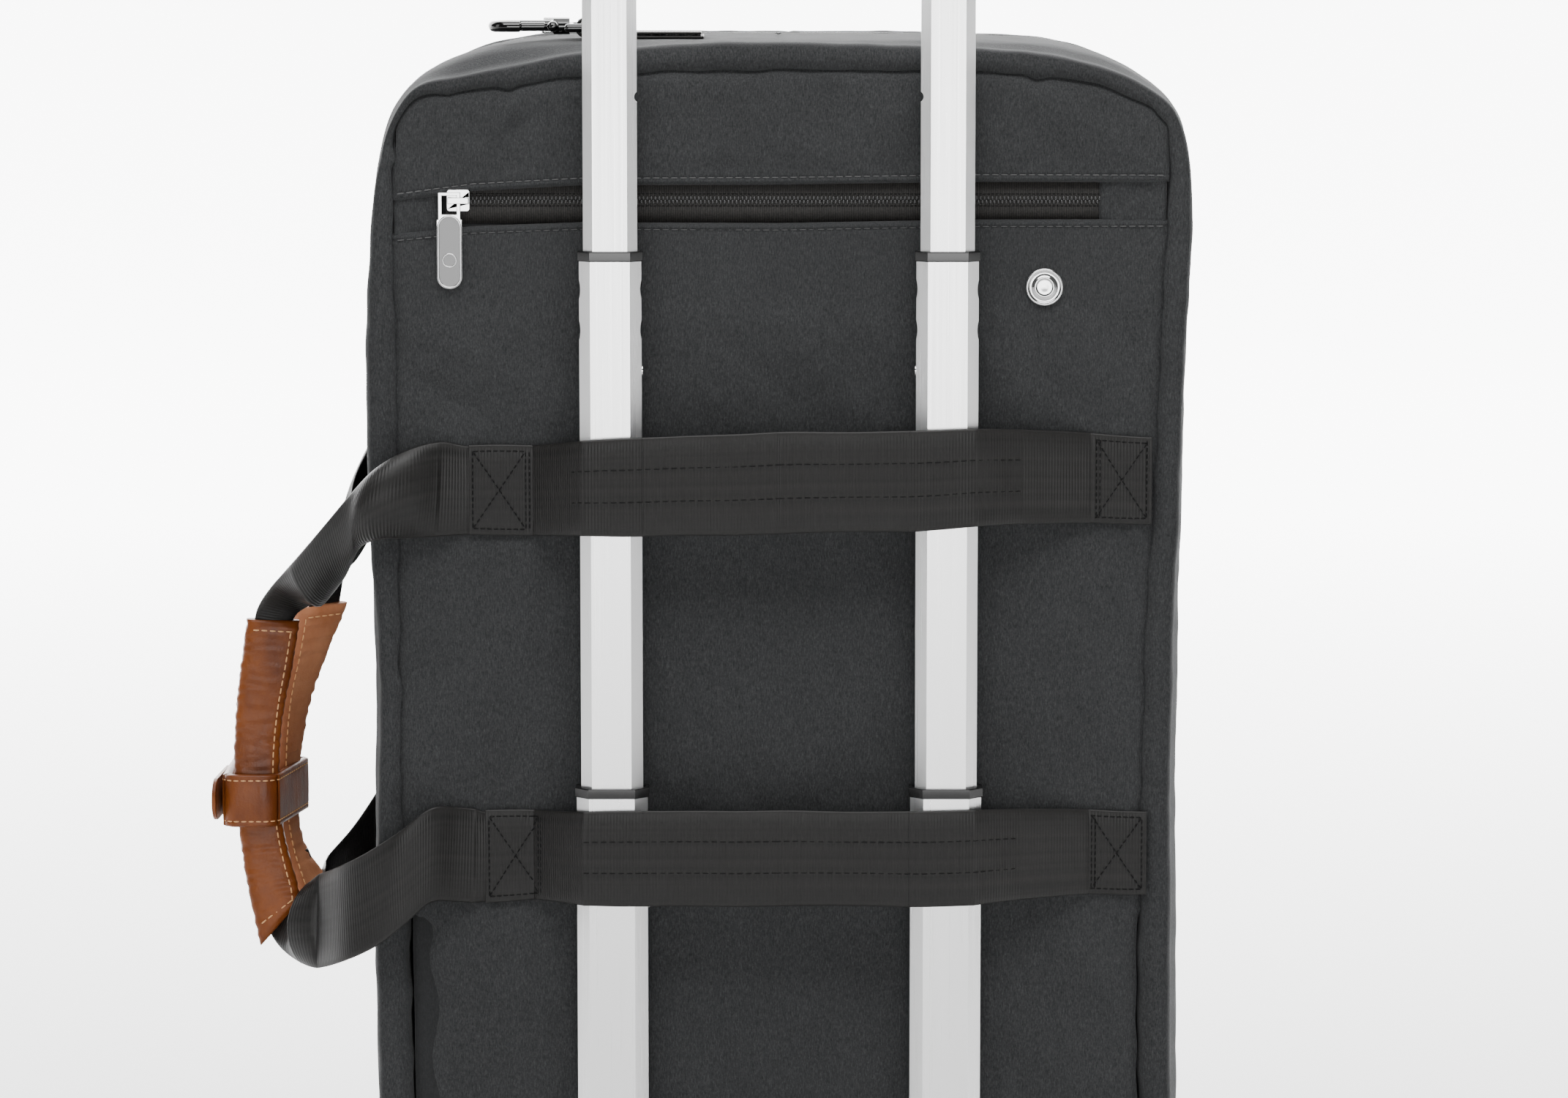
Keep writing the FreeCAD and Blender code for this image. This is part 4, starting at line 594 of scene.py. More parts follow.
def outward_2d(loop):
    """Unit normals of a closed loop that runs counter-clockwise: n = (dz, -dx) / |d|."""
    d = np.roll(loop, -1, 0) - np.roll(loop, 1, 0)
    return unit(np.stack([d[:, 1], -d[:, 0]], -1))


OUT = outward_2d(OUTER)
WAY = np.concatenate([[0], np.cumsum(np.linalg.norm(np.diff(OUTER, axis=0), axis=1))])
LOOP = np.stack([np.cos(TAU * WAY / (WAY[-1] + 2)), np.sin(TAU * WAY / (WAY[-1] + 2))], -1) * WAY[-1] / TAU
for x, z, depth in ((-152.4, 527, 1.8), (-106, 554.8, 1.7), (101, 558.5, 1.6), (-130, 552, 0.9), (150, 543, 0.9), (34, 561, 0.6)):
    near = np.exp(-((SEAM[:, 0] - x) ** 2 + (SEAM[:, 1] - z) ** 2) / 3.2**2)
    SEAM -= OUT * (near * depth)[:, None]
SEAM += OUT * (0.35 * ripple(LOOP, 26, 3))[:, None]
print("round the bag", round(float(WAY[-1])), "mm")

# %% [markdown]
# A section point is written as four numbers: how far it lies from the seam to the roll's outer edge, how far it has
# gone over to the wall's outline, how far it stands out, and its depth. Puckers come from noise along the way round,
# strongest beside the seams, because that is where the thread gathers the cloth.

# %% Swept walls


def swept(name, controls, outer, seam, wall, out, material, count=64, drop=None, pucker=0.45, seed=11):
    """Sweeps a closed section round the bag: P = seam + f(outer - seam), then P + g(wall - P) + o·normal."""
    section = spline(np.array(controls, float), count, closed=True)
    f, g, stand, y = (section[None, :, k] for k in range(4))
    flat = seam[:, None] + (outer - seam)[:, None] * f[..., None]
    flat = flat + (wall[:, None] - flat) * np.clip(g, 0, 1)[..., None]
    spot = np.concatenate([np.repeat(LOOP[:, None], count, 1), np.broadcast_to(y[..., None], (*flat.shape[:2], 1))], -1)
    near_seam = 1 - 0.6 * np.clip(f, 0, 1)
    soft = pucker * near_seam * ripple(spot, 17, seed) + 0.5 * pucker * ripple(spot, 70, seed + 1)
    flat = flat + out[:, None] * (stand + soft * np.clip(1 - abs(stand + 6) / 60, 0, 1))[..., None]
    depth = np.broadcast_to(y, flat.shape[:2]) + 0.35 * pucker * ripple(spot, 22, seed + 2)
    if drop is not None:
        flat[..., 1] -= drop(flat[..., 0], flat[..., 1], depth)
    points = np.stack([flat[..., 0], depth, flat[..., 1]], -1)
    fields = {"along": np.repeat(WAY[:, None], count, 1) * MM}
    return make_mesh(name, points, wrap_faces(len(points), count, closed=True), material, fields)


def lid_drop(x, z, y):
    """The lid's top sags below the body's: up to 7 mm at its front, less near the zip."""
    return step(z, 470, 560) * step(y, -8, 30) * (4.5 + 3 * (x / 130) ** 2)


def top_seam(obj, depths, x=-0.5):
    """Presses the join between two lengths of cloth into the top: d = -0.9 exp(-(x - x0)²/0.8²)."""
    mesh = obj.data
    co = np.empty(len(mesh.vertices) * 3, np.float32)
    mesh.vertices.foreach_get("co", co)
    co = co.reshape(-1, 3)
    top = (co[:, 2] > 0.55) & (co[:, 1] > depths[0] * MM) & (co[:, 1] < depths[1] * MM)
    co[:, 2] -= top * 0.0009 * np.exp(-((co[:, 0] - x * MM) / 0.0009) ** 2)
    mesh.vertices.foreach_set("co", co.ravel())
    mesh.update()


BODY = [
    (-0.06, 0, 0, -150.2), (0.0, 0, 0, -152.6), (0.1, 0, 0, -155.2), (0.3, 0, 0, -156.7), (0.55, 0, 0, -157.1),
    (0.8, 0, 0, -156.3), (0.95, 0, 0, -154.2), (1.0, 0, 0.2, -151), (0.99, 0, 0.2, -147.5), (0.95, 0.1, -0.2, -145),
    (1.0, 0.55, 0.1, -141), (1, 0.9, 0.4, -134), (1, 1, 0.7, -118), (1, 1, 0.8, -92), (1, 1, 0.6, -60), (1, 1, 0.2, -36),
    (1, 1, -0.5, -28.5), (1, 1, -1.6, -27), (1, 1, -5.4, -27.3), (1, 1, -6.2, -32), (1, 1, -6.4, -60),
    (1, 1, -6.4, -120), (1, 0.6, -6.6, -141), (0.4, 0.1, -5, -146), (0.0, 0, -2, -147.4),
]
body_wall = swept("body_wall", BODY, OUTER, SEAM, WALL, OUT, FABRIC)
top_seam(body_wall, (-145, -27))
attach(body_wall, "bag")
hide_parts("gusset")

LID_WALL = WALL.copy()
LID_OUT = outward_2d(LID_WALL)
LID_SEAM = LID_WALL - LID_OUT * 12
LID = [
    (1, 1, -5.4, -12.8), (1, 1, -1.6, -13), (1, 1, -0.5, -11.6), (1, 1, 0.2, -6), (1, 1, 0.7, 4), (1, 1, 0.6, 14),
    (1, 1, 0.0, 22), (1, 1, -0.5, 25), (1, 1, 0, 27.5), (1, 1, 0.1, 31), (1, 1, -1.0, 34.6), (1, 1, -3.6, 36.6),
    (1, 1, -6.6, 37), (1, 1, -9.6, 35.8), (1, 1, -11.6, 33.2), (1, 1, -12.4, 30.5), (1, 1, -10.5, 28),
    (1, 1, -6.6, 24), (1, 1, -6.2, 10), (1, 1, -6.1, -8),
]
lid_wall = swept("lid_wall", LID, LID_WALL, LID_SEAM, LID_WALL, LID_OUT, FABRIC, count=52, drop=lid_drop, seed=31)
top_seam(lid_wall, (-13, 25), 3)
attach(lid_wall, "lid")
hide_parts("lid_gusset")
print("walls", len(body_wall.data.vertices), len(lid_wall.data.vertices))

# %% [markdown]
# ## The main zip
#
# Two flat tapes follow the outline with their teeth meeting in the middle. Each tooth is one small block; a
# repeated detail this small needs only six faces.

# %% Main zip


def zip_ring(name, low, high, node, body):
    """A thin tape round the bag between two depths, set slightly inside the walls."""
    inset = 0.9
    controls = [(low, -inset), (high, -inset), (high, -inset - 1.1), (low, -inset - 1.1)]
    y = np.array([low, (low + high) / 2, high, high, (low + high) / 2, low])
    deep = np.array([0, 0, 0, -1.1, -1.1, -1.1]) - inset
    flat = WALL[:, None] + WALL_OUT[:, None] * deep[None, :, None]
    depth = np.broadcast_to(y, flat.shape[:2])
    flat[..., 1] -= lid_drop(flat[..., 0], flat[..., 1], depth)
    points = np.stack([flat[..., 0], depth, flat[..., 1]], -1)
    fields = {"along": np.repeat(WAY[:, None], len(y), 1) * MM}
    tape = make_mesh(name, points, wrap_faces(len(points), len(y), closed=True), TAPE, fields)
    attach(tape, body)
    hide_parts(node)
    return tape


def zip_teeth(name, loop, normals, y, reach, pitch, body, offset=0.0):
    """Blocks along a loop, each pitch apart, that reach across the meeting line at y."""
    ahead = unit(np.roll(loop, -1, 0) - loop)
    way = np.concatenate([[0], np.cumsum(np.linalg.norm(np.diff(loop, axis=0), axis=1))])
    at = np.arange(offset, way[-1], pitch)
    pick = lambda table: np.stack([np.interp(at, way, c) for c in table.T], -1)
    spot, t, n = pick(loop), unit(pick(ahead)), unit(pick(normals))
    centres = np.stack([spot[:, 0] - n[:, 0] * 0.7, np.full(len(at), y), spot[:, 1] - n[:, 1] * 0.7], -1)
    lift = lambda v: np.stack([v[:, 0], np.zeros(len(v)), v[:, 1]], -1)
    axes = np.stack([lift(t), np.tile([0.0, 1.0, 0.0], (len(at), 1)), lift(n)], 1)
    teeth = boxes(name, centres, axes, (pitch * 0.62, reach, 1.3), COIL)
    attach(teeth, body)
    return teeth


WALL_OUT = outward_2d(WALL)
zip_ring("body_tape", -27.6, -20.4, "body_zip_tape", "bag")
zip_ring("lid_tape", -19.6, -12.4, "lid_zip_tape", "lid")
zip_teeth("body_teeth", WALL, WALL_OUT, -20.6, 2.6, 3.2, "bag")
zip_teeth("lid_teeth", WALL, WALL_OUT, -19.4, 2.6, 3.2, "lid", 1.6)
print("main zip done")

# %% [markdown]
# ## The back panel
#
# Above the pocket zip is a yoke and below it the pocket's own panel. Their hems run from side to side, so the yoke
# is a grid of columns that rise from hem to seam, and the pocket panel one of rows that go down from hem to seam.
# Rows and columns crowd together at the corners, where the seam turns.

# %% Panel outlines
HEM_X = np.array([-155, -120, -79, 0, 78, 156.0])
YOKE_HEM = np.array([509.0, 513.6, 515.8, 516.1, 517.2, 517.0])
POCKET_HEM = np.array([496.4, 499.8, 501.3, 501.0, 502.4, 502.5])
top_half = SEAM[:, 1] > 519
order = np.argsort(SEAM[top_half, 0])
TOP_X, TOP_Z = SEAM[top_half, 0][order], SEAM[top_half, 1][order]
right, left = SEAM[:, 0] > 0, SEAM[:, 0] < 0
SIDES = {}
for key, rows in (("right", right), ("left", left)):
    low = rows & (SEAM[:, 1] < 530)
    order = np.argsort(SEAM[low, 1])
    SIDES[key] = SEAM[low, 0][order], SEAM[low, 1][order]


def seam_x(key, z):
    """x of the seam at height z on one side."""
    x, height = SIDES[key]
    return np.interp(z, height, x)


FOLDS = [  # x, z, angle of the fold, half length, half width, height
    (-128, 452, -24, 26, 5.5, 1.2), (-138, 436, -30, 20, 4.0, -0.8), (-120, 440, -18, 30, 7, 0.7), (-147, 462, 80, 14, 3, 0.9),
    (-146, 330, 60, 12, 3.5, 0.9), (-137, 322, 25, 14, 3.5, -0.7), (-132, 478, -40, 18, 6, 0.6), (-92, 430, -60, 30, 9, 0.5),
    (-136, 205, -35, 24, 5, 1.0), (-118, 178, -28, 30, 6, 0.9), (-129, 186, -30, 22, 4, -0.8), (-105, 205, -60, 22, 7, 0.7),
    (-112, 140, 20, 26, 6, 0.8), (-128, 120, 35, 18, 5, 0.8), (-100, 360, 82, 40, 7, 0.6), (-60, 340, 88, 60, 10, 0.5),
    (-106, 545, 70, 9, 3.5, 1.0), (-98, 540, 40, 12, 4, -0.6), (-60, 545, 85, 14, 6, 0.7), (-20, 540, 88, 20, 7, 0.7),
    (18, 545, 80, 14, 5, -0.5), (52, 540, 88, 18, 8, 0.6), (101, 549, 96, 9, 3.5, 0.9), (112, 545, 120, 14, 4, 0.7),
    (128, 535, 140, 20, 6, 0.8), (70, 470, 88, 40, 9, 0.5), (120, 440, 92, 40, 8, 0.5), (143, 400, 88, 40, 3, 0.7),
    (104, 330, 85, 50, 10, 0.5), (136, 250, 80, 24, 6, 0.7), (128, 200, 110, 26, 6, 0.6), (140, 180, 88, 20, 3, 0.9),
    (20, 300, 92, 70, 13, 0.6), (-22, 260, 86, 60, 12, 0.6), (0, 430, 90, 60, 14, 0.5), (-148, 500, 85, 12, 3, 0.6),
]


def fold_height(x, z):
    """Σ h exp(-(a/L)² - (b/w)²), with a along and b across each fold, plus fine noise."""
    total = 0.35 * ripple(np.stack([x, z], -1), 38, 21) + 0.16 * ripple(np.stack([x, z * 0.6], -1), 11, 22)
    for fx, fz, angle, long, wide, high in FOLDS:
        turn = math.radians(angle)
        a = (x - fx) * math.cos(turn) + (z - fz) * math.sin(turn)
        b = (z - fz) * math.cos(turn) - (x - fx) * math.sin(turn)
        total = total + high * np.exp(-((a / long) ** 2) - (b / wide) ** 2)
    return total


def under_tubes(x):
    """1 where a tube stands against the panel, falling to 0 beside it."""
    return np.exp(-(((abs(x) - 66) / 17) ** 4))


def under_webbing(x, z):
    """1 behind the sewn ends of the bands, 0 elsewhere."""
    row = 1 - step(np.minimum(abs(z - 397), abs(z - 250)), 19, 25)
    return row * np.maximum(1 - step(x, -96, -88), step(x, 112, 120))


def under_pull(z):
    """1 along the zip, where the pull hangs and slides, 0 elsewhere."""
    return step(z, 462, 472) * (1 - step(z, 521, 530))


def panel_front(x, z, edge):
    """y of the cloth's face: flat at -155.1, dipping into the seam over the last few mm, with its folds."""
    puff = 0.9 * step(edge, 0, 40) + 1.6 * fold_height(x, z) * step(edge, 0.5, 7)
    puff = np.clip(puff, -0.9, 3.0) * (1 - 0.62 * under_tubes(x))
    puff = puff + (np.minimum(puff, 0.6) - puff) * under_webbing(x, z)
    puff = puff + (np.minimum(puff, 0.3) - puff) * under_pull(z)
    return -155.0 - puff + 2.6 * np.exp(-((edge / 2.2) ** 1.3))


def crowded(count, power=0.75):
    """0..1 with steps that get smaller towards both ends."""
    t = np.linspace(-1, 1, count)
    return 0.5 + 0.5 * np.sin(t * math.pi / 2) * (1 - power * 0.0)


def cloth_slab(name, x, z, front, material, thick=1.5):
    """A cloth layer: the front grid and one behind it."""
    grid = np.stack([np.stack([x, front, z], -1), np.stack([x, np.minimum(front + thick, -151.2), z], -1)])
    slab = make_mesh(name, grid, slab_faces(*x.shape), material)
    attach(slab, "bag")
    return slab


# %% [markdown]
# A hem is the cloth turned under and stitched. The edge rolls over a rounded lip, and the row of stitches a few
# millimetres in presses a shallow groove. Stitches are real threads: short six-sided rods, one mesh for a whole row.

# %% Yoke and pocket panel


def hem_lip(distance):
    """Lip of a turned edge: -0.5 mm of swell, 1.3 mm of fall at the very edge and the stitch groove at 2.8 mm."""
    return 1.3 * np.exp(-((distance / 0.7) ** 2)) - 0.45 * np.exp(-(((distance - 1.6) / 1.2) ** 2)) + 0.4 * np.exp(-(((distance - 2.9) / 0.55) ** 2))


columns = crowded(230) * (TOP_X[-1] - TOP_X[0] - 0.6) + TOP_X[0] + 0.3
UNDER = 1.2                         # how far a panel goes on under the roll
hem, top = np.interp(columns, HEM_X, YOKE_HEM), np.interp(columns, TOP_X, TOP_Z)
v = np.concatenate([np.linspace(0, 0.12, 12, endpoint=False), np.linspace(0.12, 1, 58)])
yoke_z = hem[:, None] + (top + UNDER - hem)[:, None] * v
yoke_x = np.repeat(columns[:, None], len(v), 1)
edge = np.minimum(top[:, None] - yoke_z, np.minimum(yoke_x - TOP_X[0], TOP_X[-1] - yoke_x))
edge = np.maximum(edge, 0)
yoke_y = panel_front(yoke_x, yoke_z, edge) + hem_lip(yoke_z - hem[:, None]) - 0.15
yoke = cloth_slab("yoke", yoke_x, yoke_z, yoke_y, FABRIC)
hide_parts("back_yoke")

rows = np.concatenate([np.linspace(0, 7, 18), np.linspace(8, 392, 190), 392 + 28 * np.sin(np.linspace(0.03, 1, 44) * math.pi / 2)])
t = np.linspace(0, 1, 150)
level = 502.5 - rows
slot_left = 8.5 * step(level, 120, 134) * (1 - step(level, 219, 229)) + 1.4 * np.sin(level / 7.0) * step(level, 130, 140) * (1 - step(level, 205, 220))
slot_right = 1.5 * step(level, 120, 134) * (1 - step(level, 219, 229))
x_left = seam_x("left", level) + slot_left - UNDER * (slot_left < 0.5)
x_right = seam_x("right", level) - slot_right + UNDER * (slot_right < 0.5)
pocket_x = x_left[:, None] + (x_right - x_left)[:, None] * t
slack = np.interp(pocket_x, HEM_X, POCKET_HEM) - 502.5
pocket_z = level[:, None] + slack * (1 - step(rows, 0, 60))[:, None]
edge = np.minimum(np.minimum(pocket_x - x_left[:, None], x_right[:, None] - pocket_x) - UNDER, pocket_z - 83.5)
edge = np.maximum(edge, 0)
pocket_y = panel_front(pocket_x, pocket_z, edge) + hem_lip(np.repeat(rows[:, None], len(t), 1))
pocket = cloth_slab("pocket_cloth", pocket_x, pocket_z, pocket_y, FABRIC)
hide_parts("pocket_panel")
print("panels", yoke_x.size, pocket_x.size)

# %% Stitches along the hems


def panel_stitches(name, x, z, lift=0.0, **more):
    """Thread on the panel along a path given by x and z."""
    y = panel_front(x, z, np.full(len(x), 30.0)) + lift
    path = np.stack([x, y, z], -1)
    row = stitches(name, path, np.tile([0.0, -1.0, 0.0], (len(x), 1)), THREAD, **more)
    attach(row, "bag")
    return row


x = np.linspace(-150.5, 152, 400)
panel_stitches("yoke_stitches", x, np.interp(x, HEM_X, YOKE_HEM) + 2.9, -0.25, pitch=3.6, length=2.6, radius=0.22)
panel_stitches("pocket_stitches", x, np.interp(x, HEM_X, POCKET_HEM) - 2.6, 0.05, pitch=3.6, length=2.6, radius=0.2)
print("hems stitched")

# %% [markdown]
# The foam pad inside the back is a closed slab. Real foam in a sewn cover swells between its seams, so it is run
# through a short cloth simulation: an even mesh from a voxel remesh, its rim held, a little pressure inside. The
# result is limited to a few millimetres and kept, so the file needs no simulation to open.

# %% Padded slabs


def outline_slab(name, loop, low, high, material, every=4):
    """A flat slab: an outline (x, z) between two depths."""
    ring = loop[::every]
    n = len(ring)
    points = np.concatenate([np.stack([ring[:, 0], np.full(n, y), ring[:, 1]], -1) for y in (low, high)])
    a = np.arange(n)
    side = np.stack([a, np.roll(a, -1), np.roll(a, -1) + n, a + n], -1)
    return make_mesh(name, points, [a[None], (a + n)[None, ::-1], side], material)


def inflate(obj, held, pressure=4.0, cap=4.0, voxel=5.0, slack=-0.03):
    """Voxel remesh, then 20 frames of pressure with the held points fixed; moves are limited to cap mm."""
    remesh = obj.modifiers.new("even", "REMESH")
    remesh.mode = "VOXEL"
    remesh.voxel_size = voxel * MM
    bpy.context.view_layer.update()
    made = bpy.data.meshes.new_from_object(obj.evaluated_get(bpy.context.evaluated_depsgraph_get()))
    material = obj.data.materials[0]
    obj.modifiers.clear()
    obj.data = made
    if not made.materials:
        made.materials.append(material)
    start = np.empty(len(made.vertices) * 3)
    made.vertices.foreach_get("co", start)
    start = start.reshape(-1, 3)
    group = obj.vertex_groups.new(name="held")
    group.add(np.nonzero(held(start / MM))[0].tolist(), 1.0, "REPLACE")
    cloth = obj.modifiers.new("cloth", "CLOTH")
    cloth.settings.vertex_group_mass = "held"
    cloth.settings.use_pressure = True
    cloth.settings.uniform_pressure_force = pressure
    cloth.settings.shrink_min = slack
    cloth.settings.shrink_max = slack
    cloth.settings.quality = 5
    cloth.settings.effector_weights.gravity = 0.0
    cloth.point_cache.frame_start, cloth.point_cache.frame_end = 1, 20
    for number in range(1, 21):
        bpy.context.scene.frame_set(number)
    result = obj.evaluated_get(bpy.context.evaluated_depsgraph_get())
    end = np.empty(len(start) * 3)
    result.data.vertices.foreach_get("co", end)
    end = end.reshape(-1, 3)
    obj.modifiers.clear()
    bpy.context.scene.frame_set(1)
    move = end - start
    size = np.linalg.norm(move, axis=1, keepdims=True)
    end = start + move * np.minimum(1, cap * MM / np.maximum(size, 1e-9))
    made.vertices.foreach_set("co", end.ravel())
    made.update()
    made.shade_smooth()
    smooth = obj.modifiers.new("smooth", "SUBSURF")
    smooth.levels = smooth.render_levels = 1
    return obj


def near_loop(points, loop, reach):
    """True for points whose (x, z) is within reach mm of a loop."""
    gap = np.full(len(points), 1e9)
    for spot in loop[::3]:
        gap = np.minimum(gap, np.hypot(points[:, 0] - spot[0], points[:, 2] - spot[1]))
    return gap < reach


def finish_pad(obj, node, body):
    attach(obj, body)
    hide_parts(node)
    print(obj.name, len(obj.data.vertices), "points")


PAD_EDGE = SEAM - OUT * 0.5
back_pad = outline_slab("back_pad", PAD_EDGE, -153.2, -146.8, LINING)
inflate(back_pad, lambda p: near_loop(p, PAD_EDGE, 7) | (p[:, 1] < -151), cap=3.0)
finish_pad(back_pad, "back_panel", "bag")

LID_EDGE = LID_WALL - LID_OUT * 11.5
LID_EDGE[:, 1] -= lid_drop(LID_EDGE[:, 0], LID_EDGE[:, 1], 30.0)
lid_pad = outline_slab("lid_pad", LID_EDGE, 29.2, 34.6, FABRIC)
inflate(lid_pad, lambda p: near_loop(p, LID_EDGE, 6), cap=4.0)
finish_pad(lid_pad, "front_panel", "lid")

# %% Channel for the pocket zip
co = np.empty(len(back_pad.data.vertices) * 3, np.float32)
back_pad.data.vertices.foreach_get("co", co)
co = co.reshape(-1, 3)
inside = (abs(co[:, 2] - 0.5095) < 0.0115) & (abs(co[:, 0] + 0.001) < 0.155) & (co[:, 1] < -0.1504)
co[inside, 1] = -0.1504
back_pad.data.vertices.foreach_set("co", co.ravel())
back_pad.data.update()
print("channel", int(inside.sum()), "points")

# %% [markdown]
# ## Pocket zip
#
# The tape is a ribbed sheet under both hems. Its coil is a chain of small teeth from alternate sides, and a patch
# of cloth closes each end of the opening.

# %% Pocket zip
x = np.linspace(-131, 129, 261)
wave = 0.12 * ripple(np.stack([x, x * 0], -1), 40, 61)
q = np.array([0, 0.4, 0.47, 0.5, 0.53, 0.6, 1.0])
z = 500.8 + (518.8 - 500.8) * q
front = np.array([0, -0.1, -0.25, -0.3, -0.25, -0.1, 0])
tape_x = np.repeat(x[:, None], len(z), 1)
tape_z = np.repeat(z[None], len(x), 0)
tape_y = -152.0 + front[None] + wave[:, None]
grid = np.stack([np.stack([tape_x, tape_y, tape_z], -1), np.stack([tape_x, tape_y * 0 - 151.2, tape_z], -1)])
along = {"along": np.concatenate([tape_x.ravel(), tape_x.ravel()]) * MM}
tape = make_mesh("pocket_tape", grid, slab_faces(*tape_x.shape), TAPE, along)
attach(tape, "bag")
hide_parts("pocket_zip")

at = np.arange(-129, 127.5, 0.78)
odd = np.arange(len(at)) % 2
rise = -152.55 + np.interp(at, x, wave)
centres = np.stack([at, rise, 510 + np.where(odd, 0.75, -0.75)], -1)
axes = np.array([[1.0, 0, 0], [0, 0, 1.0], [0, -1.0, 0]])
coil = boxes("pocket_coil", centres, axes, (0.95, 1.9, 1.1), COIL)
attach(coil, "bag")
for side, offset in (("low", -2.4), ("high", 2.4)):
    path = np.stack([x, -152.3 + wave, np.full(len(x), 510 + offset)], -1)
    seam = stitches("coil_thread_" + side, path, np.tile([0, -1.0, 0], (len(x), 1)), THREAD_BLACK, 1.6, 1.2, 0.18)
    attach(seam, "bag")


def end_patch(name, x0, x1):
    """Cloth patch that closes one end of the zip opening."""
    px, t = np.linspace(x0, x1, 24), np.linspace(0, 1, 16)
    low, high = np.interp(px, HEM_X, POCKET_HEM) - 1.5, np.interp(px, HEM_X, YOKE_HEM) + 1.5
    pz = low[:, None] + (high - low)[:, None] * t
    gx = np.repeat(px[:, None], len(t), 1)
    near = np.minimum(gx - x0, x1 - gx)
    py = -153.4 - 0.35 * ripple(np.stack([gx, pz], -1), 12, 71) + 0.9 * np.exp(-((near / 0.8) ** 2))
    patch = cloth_slab(name, gx, pz, py, FABRIC, 0.9)
    return patch


end_patch("left_patch", -151.5, -134.0)
end_patch("right_patch", 126.0, 152.6)
print("pocket zip", len(at), "teeth")

# %% [markdown]
# The stud is turned: a low dome inside a raised rim, with a plain ring pressed into it. The long pull gets a raised
# border and the same plain ring.

# %% Stud and pull marks
CHROME = FINISH["chrome_hardware"]
RIM_PROFILE = [(0.01, 0.6), (7.2, 0.6), (7.5, 1.0), (7.45, 1.7), (7.1, 2.15), (6.6, 2.2), (6.2, 1.9), (5.9, 1.75),
               (4.4, 2.0), (4.1, 2.35), (3.5, 2.45), (3.1, 2.2), (2.8, 2.15), (1.4, 2.3), (0.01, 2.35)]
stud = lathe("stud_cap", RIM_PROFILE, (104.5, -154.6, 476), (0, -1, 0), (0, 0, 1), CHROME, 64)
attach(stud, "bag")
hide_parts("stud")

DARK_CHROME = metal("dark_chrome", grey(0.1), 0.26)


def loop_rod(name, path, radius, material, body):
    """A thin round bar along a closed path (n, 3), standing on the face y = const."""
    path = np.asarray(path, float)
    ahead = unit(np.roll(path, -1, 0) - np.roll(path, 1, 0))
    up = np.array([0.0, -1.0, 0.0])
    side = np.cross(ahead, up)
    angle = np.arange(8) * TAU / 8
    points = path[:, None] + radius * (np.cos(angle)[None, :, None] * side[:, None] + np.sin(angle)[None, :, None] * up)
    rod = make_mesh(name, points, wrap_faces(len(path), 8, closed=True), material)
    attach(rod, body)
    return rod


def capsule_path(x, z0, z1, radius, y, count=24):
    """Outline of a long round-ended plate: two half circles joined by straight sides."""
    a = np.linspace(0, math.pi, count)
    top = np.stack([x + radius * np.cos(a), np.full(count, y), z1 + radius * np.sin(a)], -1)
    low = np.stack([x - radius * np.cos(a), np.full(count, y), z0 - radius * np.sin(a)], -1)
    return np.concatenate([top, low])


pull_face = -156.98
loop_rod("pull_border", capsule_path(-129.5, 480.2, 499.5, 4.35, pull_face), 0.42, CHROME, "pocket_pull")
a = np.linspace(0, TAU, 32, endpoint=False)
ring_path = np.stack([-129.5 + 2.6 * np.cos(a), np.full(32, pull_face), 486.5 + 2.6 * np.sin(a)], -1)
loop_rod("pull_ring", ring_path, 0.32, CHROME, "pocket_pull")
plate_edge = capsule_path(-129.5, 480.2, 499.5, 4.1, pull_face - 0.02)
face_points = np.concatenate([plate_edge, plate_edge + [0, 0.3, 0]])
n = len(plate_edge)
k = np.arange(n)
face = make_mesh("pull_face", face_points, [k[None], (k + n)[None, ::-1], np.stack([k, np.roll(k, -1), np.roll(k, -1) + n, k + n], -1)], DARK_CHROME)
face.data.shade_flat()
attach(face, "pocket_pull")
print("stud and pull")

# %% [markdown]
# ## Webbing
#
# The two bands lie flat on the panel at their ends and stand off over the tubes. Their edges are two curves each;
# the webbing between them is woven with ribs, which are real bumps in the mesh about a millimetre apart.

# %% Bands


def band_edges(stations, count):
    """Edge curves from rows of (x, y, top z, low z), rounded where the band bends."""
    rows = np.array(stations, float)
    line = spline(rows, count, by=slice(0, 2))
    top = np.stack([line[:, 0], line[:, 1], line[:, 2]], -1)
    low = np.stack([line[:, 0], line[:, 1], line[:, 3]], -1)
    return top, low


def bends(stations, tight=2.5):
    """Doubles each station so that the spline turns within a few mm of it."""
    rows = [np.array(s, float) for s in stations]
    made = [rows[0]]
    for before, here, after in zip(rows, rows[1:], rows[2:]):
        for other in (before, after):
            gap = np.linalg.norm(other[:2] - here[:2])
            made.append(here + (other - here) * min(0.4, tight / gap))
    return made + [rows[-1]]


UPPER = [(-122.5, -157.3, 413.2, 377.8), (-97, -156.9, 413.3, 377.7), (-77, -176.4, 417.4, 379.6), (-52, -177.0, 418.9, 379.8),
         (0, -176.8, 420.6, 380.8), (50, -177.0, 421.4, 381.8), (77, -176.4, 421.5, 383.4), (96, -166.5, 420.4, 383.2),
         (123, -156.6, 418.4, 382.4), (147.4, -156.2, 417.0, 382.1)]
LOWER = [(-117, -157.3, 267.0, 229.8), (-97, -156.9, 267.4, 231.6), (-77, -176.4, 270.2, 232.4), (-52, -177.0, 270.9, 232.5),
         (0, -176.8, 270.6, 232.6), (50, -177.0, 270.6, 232.5), (77, -176.4, 270.4, 232.6), (96, -166.5, 269.4, 233.0),
         (123, -156.6, 267.8, 233.4), (146.5, -156.2, 267.2, 233.2)]
OUTWARDS = (0, -1, 0)
bands = {}
